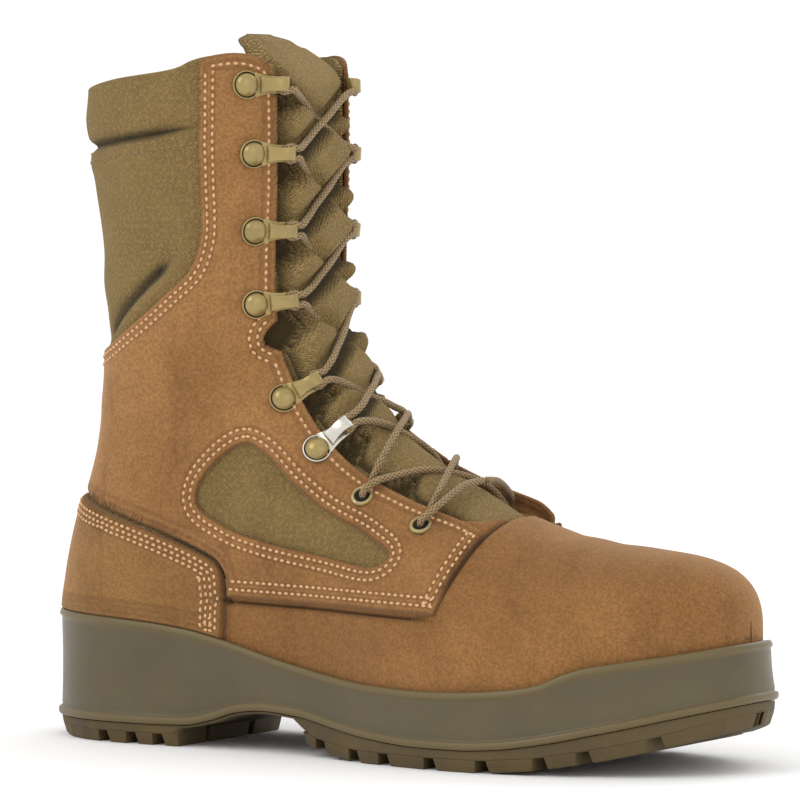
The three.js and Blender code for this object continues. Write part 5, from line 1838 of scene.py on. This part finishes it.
@dataclass
class Hardware:
    """The speed hooks and eyelets."""

    stud: float = 5.5
    stud_high: float = 3.3
    dome: float = 4.3
    groove_end: float = 4.98
    strap_thick: float = 1.1
    eyelet: float = 4.3
    bore: float = 2.9

    @staticmethod
    def turn(shape: bmesh.types.BMesh, profile: Pairs, joined: Pairs, steps: int, merge: float) -> None:
        """Turns a profile of radius and height round the upright axis.

        Args:
            shape: takes the surface.
            profile: the profile's points.
            joined: its points that an edge ends at, all of them for a closed profile.
            steps: corners round the axis.
            merge: distance at which points become one.
        """
        verts = [shape.verts.new((r, 0, z)) for r, z in profile]
        ends = (verts[1:] + verts[:1])[: len(joined)]
        edges = [shape.edges.new(pair) for pair in zip(verts, ends)]
        bmesh.ops.spin(shape, geom=verts + edges, cent=(0, 0, 0), axis=(0, 0, 1), angle=2 * math.pi,
                       steps=steps, use_merge=True)
        bmesh.ops.remove_doubles(shape, verts=shape.verts, dist=merge)

    def hook_shape(self, lacing: Lacing) -> bmesh.types.BMesh:
        """A hook in its own frame: a domed stud, a necked plate and a folded strap, with painted shade in the
        groove round the dome.
        """
        shape = bmesh.new()
        profile = [(0.0001, self.stud_high), (1.5, self.stud_high - 0.12), (2.8, self.stud_high - 0.5),
                   (3.8, self.stud_high - 1.2), (4.3, 1.5), (4.4, 0.7), (4.75, 0.6), (4.95, 0.85),
                   (self.stud - 0.2, 0.95), (self.stud, 0.7), (self.stud, -0.6)]
        self.turn(shape, profile, profile[1:], 28, 0.01)
        bmesh.ops.holes_fill(shape, edges=[e for e in shape.edges if e.is_boundary], sides=0)
        reach = lacing.reach
        centre = [(3.2, 0.62), (6.0, 0.62), (9.0, 0.62), (12.0, 0.62), (reach - 1.2, 0.7), (reach - 0.2, 1.3),
                  (reach + 0.5, 2.4), (reach + 0.5, 3.7), (reach - 0.3, 4.7), (reach - 1.8, 5.1),
                  (reach - 4.0, 4.9), (8.6, 3.6), (6.6, 2.3), (5.2, 1.6)]
        widths = [9.6, 8.0, 6.8, 6.5, 6.5, 6.5, 6.3, 6.0, 5.4, 5.1, 5.0, 5.0, 5.8, 6.6]
        rows = []
        for i, ((x, z), wide) in enumerate(zip(centre, widths)):
            before, after = centre[max(i - 1, 0)], centre[min(i + 1, len(centre) - 1)]
            along = Vector((after[0] - before[0], 0, after[1] - before[1])).normalized()
            out = Vector((-along.z, 0, along.x))
            middle = Vector((x, 0, z))
            corners = [(-0.5, -0.5), (0.5, -0.5), (0.5, 0.5), (-0.5, 0.5)]
            rows.append([shape.verts.new(middle + Vector((0, a * wide, 0)) + out * b * self.strap_thick)
                         for a, b in corners])
        for end in (rows[0], rows[-1]):
            shape.faces.new(end)
        long_edges = []
        for low, high in zip(rows, rows[1:]):
            for k in range(4):
                shape.faces.new((low[k], low[(k + 1) % 4], high[(k + 1) % 4], high[k]))
            long_edges += [shape.edges.get(pair) for pair in zip(low, high)]
        bmesh.ops.recalc_face_normals(shape, faces=shape.faces)
        bmesh.ops.bevel(shape, geom=long_edges, offset=0.28, segments=2, affect="EDGES", profile=0.5,
                        material=-1)
        # Faces in the groove round the dome take slot 2, the near-black painted shade; the dome keeps the
        # paint in slot 1.
        for face in shape.faces:
            spot = face.calc_center_median()
            away = math.hypot(spot.x, spot.y)
            groove = (self.dome < away < self.groove_end and 0.5 < spot.z < 0.92
                      and abs(face.normal.z) > 0.3)
            face.material_index = 2 if groove else int(away < self.dome + 0.15 and spot.z > 1.0)
        return shape

    def eyelet_shape(self) -> bmesh.types.BMesh:
        """An eyelet in its own frame, rolled over at its face and back, with a dark disc across its bore as
        painted shade in the hole.
        """
        shape = bmesh.new()
        bore, rim = self.bore, self.eyelet
        profile = [(bore, -4.2), (bore, 0.4), (bore + 0.25, 0.7), (bore + 0.6, 0.9), (rim - 0.45, 0.8),
                   (rim - 0.15, 0.5), (rim, 0.1), (rim, -0.4), (bore + 0.7, -0.5), (bore + 0.6, -4.2)]
        self.turn(shape, profile, profile, 32, 0.005)
        # A dark disc across the bore, in slot 1: painted shade in the eyelet's hole.
        wide = self.bore + 0.2
        dark = bmesh.ops.create_cone(shape, cap_ends=True, segments=24, radius1=wide, radius2=wide,
                                     depth=0.4, matrix=Matrix.Translation((0, 0, -0.05)))
        bmesh.ops.recalc_face_normals(shape, faces=shape.faces)
        for vert in dark["verts"]:
            for face in vert.link_faces:
                face.material_index = 1
        return shape

    def build(self, lacing: Lacing) -> list[bpy.types.Object]:
        """Places each hook and eyelet.

        Args:
            lacing: gives the places.

        Returns:
            The fittings.
        """
        finishes = (HOOK_PAINT, HOOK_WORN, EYELET_BRASS, PAINTED_SHADE)
        paint, worn, brass, shade = (finish.make() for finish in finishes)
        pieces = []
        for side in Side:
            word = side.name.lower()
            for kind, rows in (("hook", HOOKS), ("eyelet", EYELETS)):
                for i, row in enumerate(rows, 1):
                    shape = self.hook_shape(lacing) if kind == "hook" else self.eyelet_shape()
                    shape.transform(lacing.frame_of(row, side.value))
                    for vert in shape.verts:
                        vert.co = Vector(LAST.rest(np.array(vert.co)))
                    bmesh.ops.recalc_face_normals(shape, faces=shape.faces)
                    finish = brass if kind == "eyelet" else paint
                    if kind == "hook" and i == len(HOOKS) and side is Side.LATERAL:
                        finish = worn
                    piece = settle(f"{kind}_metal_{word}_{i}", shape, finish)
                    # Slot 1 is the eyelet's painted shade disc or the hook dome's paint; slot 2 is the
                    # painted shade of the hook's groove.
                    piece.data.materials.append(shade if kind == "eyelet" else paint)
                    piece.data.materials.append(shade)
                    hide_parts(f"{kind}_{word}_{i}")
                    pieces.append(piece)
        return pieces


@dataclass
class Lace:
    """The braided lace, in two runs that start at the bar over the lowest eyelets."""

    radius: float = 1.35
    around: int = 10
    pitch: float = 0.9

    def route(self, lacing: Lacing, side: int) -> list[Vector]:
        """The run that starts at the lowest eyelet of a side and climbs to the top hook.

        Args:
            lacing: gives the strands.
            side: where the run starts.

        Returns:
            Its points in millimetres.
        """
        fastenings = (HOOKS + EYELETS)[::-1]
        points = []
        at_side = side
        lowest = lacing.frame_of(fastenings[0], side)
        middle = Vector(LAST.facing(fastenings[0][0] - 0.05, 0.01 * side, 2.4))
        ends = lacing.strand_end(fastenings[0], side, -2.0)
        points += [middle, Vector(LAST.facing(fastenings[0][0] - 0.03, side * 13, 3.2)), ends]
        points += [lowest @ Vector((0.8, 0, 1.6)), lowest @ Vector((0.3, 0.3, -1.5)),
                   lowest @ Vector((2.0, 1.0, -3.4)), lowest @ Vector((6.5, 2.4, -1.2))]
        for low, high in zip(fastenings, fastenings[1:]):
            strand = lacing.strand(low, high, at_side)
            points += strand[1:] if low in EYELETS else strand
            at_side = -at_side
            place = lacing.frame_of(high, at_side)
            if high in EYELETS:
                points += [place @ Vector((1.0, -0.2, 1.8)), place @ Vector((0.3, 0, -1.5)),
                           place @ Vector((2.0, 1.0, -3.4)), place @ Vector((6.5, 2.2, -1.0))]
            else:
                way = -at_side
                tip = lacing.reach - 2.6
                points += [place @ Vector((tip + 1.0, way * -2.6, 3.1)), place @ Vector((tip, 0, 3.0)),
                           place @ Vector((tip + 1.0, way * 2.6, 3.1))]
        return points[:-1]

    def build(self, lacing: Lacing) -> list[bpy.types.Object]:
        """Sweeps the braid along both runs."""
        finish = LACE_BRAID.make()
        pieces = []
        for side, nodes in ((-1, [f"lace_crossing_{i}" for i in (1, 3, 5, 7)] + ["lace_bar"]),
                            (1, [f"lace_crossing_{i}" for i in (2, 4, 6)])):
            line = smooth_line([tuple(p) for p in self.route(lacing, side)], steps=7)
            walked = walk(line)
            line = read_line(np.linspace(0, walked[-1], round(walked[-1] / self.pitch)), walked, line)
            LOG.info("lace run of %.0f mm", walked[-1])
            piece = self.sweep(f"lace_run_{'lateral' if side < 0 else 'medial'}", line, finish)
            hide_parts(*nodes)
            pieces.append(piece)
        return pieces

    def sweep(self, name: str, line: Array, finish: bpy.types.Material) -> bpy.types.Object:
        """A tube along points with rounded ends and a UV map along and around it."""
        ahead = np.gradient(line, axis=0)
        ahead = unit(ahead)
        side = np.cross(ahead[0], [0, 0, 1.0])
        rings = []
        count = len(line)
        for i, (p, a) in enumerate(zip(line, ahead)):
            side = side - a * (side @ a)
            side /= np.linalg.norm(side) + 1e-9
            up = np.cross(side, a)
            close = min(i, count - 1 - i)
            size = self.radius * (0.35 + 0.65 * min(1.0, close / 2) ** 0.5)
            turn = np.linspace(0, 2 * np.pi, self.around, endpoint=False)
            rings.append(p + size * (np.cos(turn)[:, None] * side + np.sin(turn)[:, None] * up))
        shape = bmesh.new()
        route = shape.loops.layers.uv.new("route")
        loops = [[shape.verts.new(p) for p in LAST.rest(ring)] for ring in rings]
        for i, (low, high) in enumerate(zip(loops, loops[1:])):
            for k in range(self.around):
                j = (k + 1) % self.around
                face = shape.faces.new((low[k], low[j], high[j], high[k]))
                corners = ((k, i), (k + 1, i), (k + 1, i + 1), (k, i + 1))
                for loop, (u, v) in zip(face.loops, corners):
                    loop[route].uv = (u / self.around, v * self.pitch * MM)
        for ring in (loops[0], loops[-1]):
            shape.faces.new(ring)
        bmesh.ops.recalc_face_normals(shape, faces=shape.faces)
        return settle(name, shape, finish)


@dataclass
class Studio:
    """The floor, the soft lights and the camera at the photograph's angle."""

    azimuth: float = 32
    elevation: float = 2.7
    distance: float = 2.0
    lens: float = 238.5
    target: tuple[float, float, float] = (-0.0025, 0, 0.131)

    def camera(self) -> None:
        """Sets the camera."""
        data = bpy.data.cameras.new("camera")
        data.lens = self.lens
        data.sensor_width = 36
        data.shift_y = 0.005
        eye = bpy.data.objects.new("camera", data)
        a, e = math.radians(self.azimuth), math.radians(self.elevation)
        back = Vector((math.sin(a) * math.cos(e), -math.cos(a) * math.cos(e), math.sin(e)))
        eye.location = Vector(self.target) + back * self.distance
        eye.rotation_euler = back.to_track_quat("Z", "Y").to_euler()
        bpy.context.scene.collection.objects.link(eye)
        bpy.context.scene.camera = eye

    def light(self, name: str, place: tuple[float, float, float], size: float, power: float) -> None:
        """Adds a square light that faces the boot."""
        data = bpy.data.lights.new(name, "AREA")
        data.shape = "SQUARE"
        data.size = size
        data.energy = power
        lamp = bpy.data.objects.new(name, data)
        lamp.location = place
        lamp.rotation_euler = (Vector(place) - Vector((0, 0, 0.12))).to_track_quat("Z", "Y").to_euler()
        bpy.context.scene.collection.objects.link(lamp)

    def build(self) -> None:
        """Makes the stage."""
        self.camera()
        self.light("key_light", (-0.5, -1.5, 1.5), 1.1, 9)
        self.light("fill_light", (1.7, -1.1, 0.9), 1.4, 3)
        self.light("back_light", (0.4, 1.5, 1.3), 1.2, 5)
        sky = bpy.data.worlds.new("sky")
        sky.use_nodes = True
        sky.node_tree.nodes["Background"].inputs[0].default_value = (1, 1, 1, 1)
        sky.node_tree.nodes["Background"].inputs[1].default_value = 1.06
        bpy.context.scene.world = sky
        shape = bmesh.new()
        bmesh.ops.create_grid(shape, x_segments=1, y_segments=1, size=6)
        finish = Finish("base_atpaper", 0.9, Specular_IOR_Level=0.1)
        tone = finish.tree.noise(finish.tree.object_place(), 3, 2)
        finish.feed("Base Color", finish.tree.blend(tone, (0.97, 0.97, 0.97, 1), (0.99, 0.99, 0.99, 1)))
        floor = settle("floor", shape, finish.material)
        bpy.context.scene.view_settings.view_transform = "Standard"


def main() -> None:
    """Builds the boot and its stage."""
    logging.basicConfig(level=logging.INFO, format="%(message)s")
    Studio().build()
    lacing = Lacing()
    pieces = Upper().build()
    pieces.append(Tongue().build(lacing))
    pieces += Sole().build() + Hardware().build(lacing) + Lace().build(lacing)
    for piece in pieces:
        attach(piece, "root")
        piece.data.calc_loop_triangles()
        LOG.info("%s: %d triangles", piece.name, len(piece.data.loop_triangles))


if __name__ == "__main__":
    main()
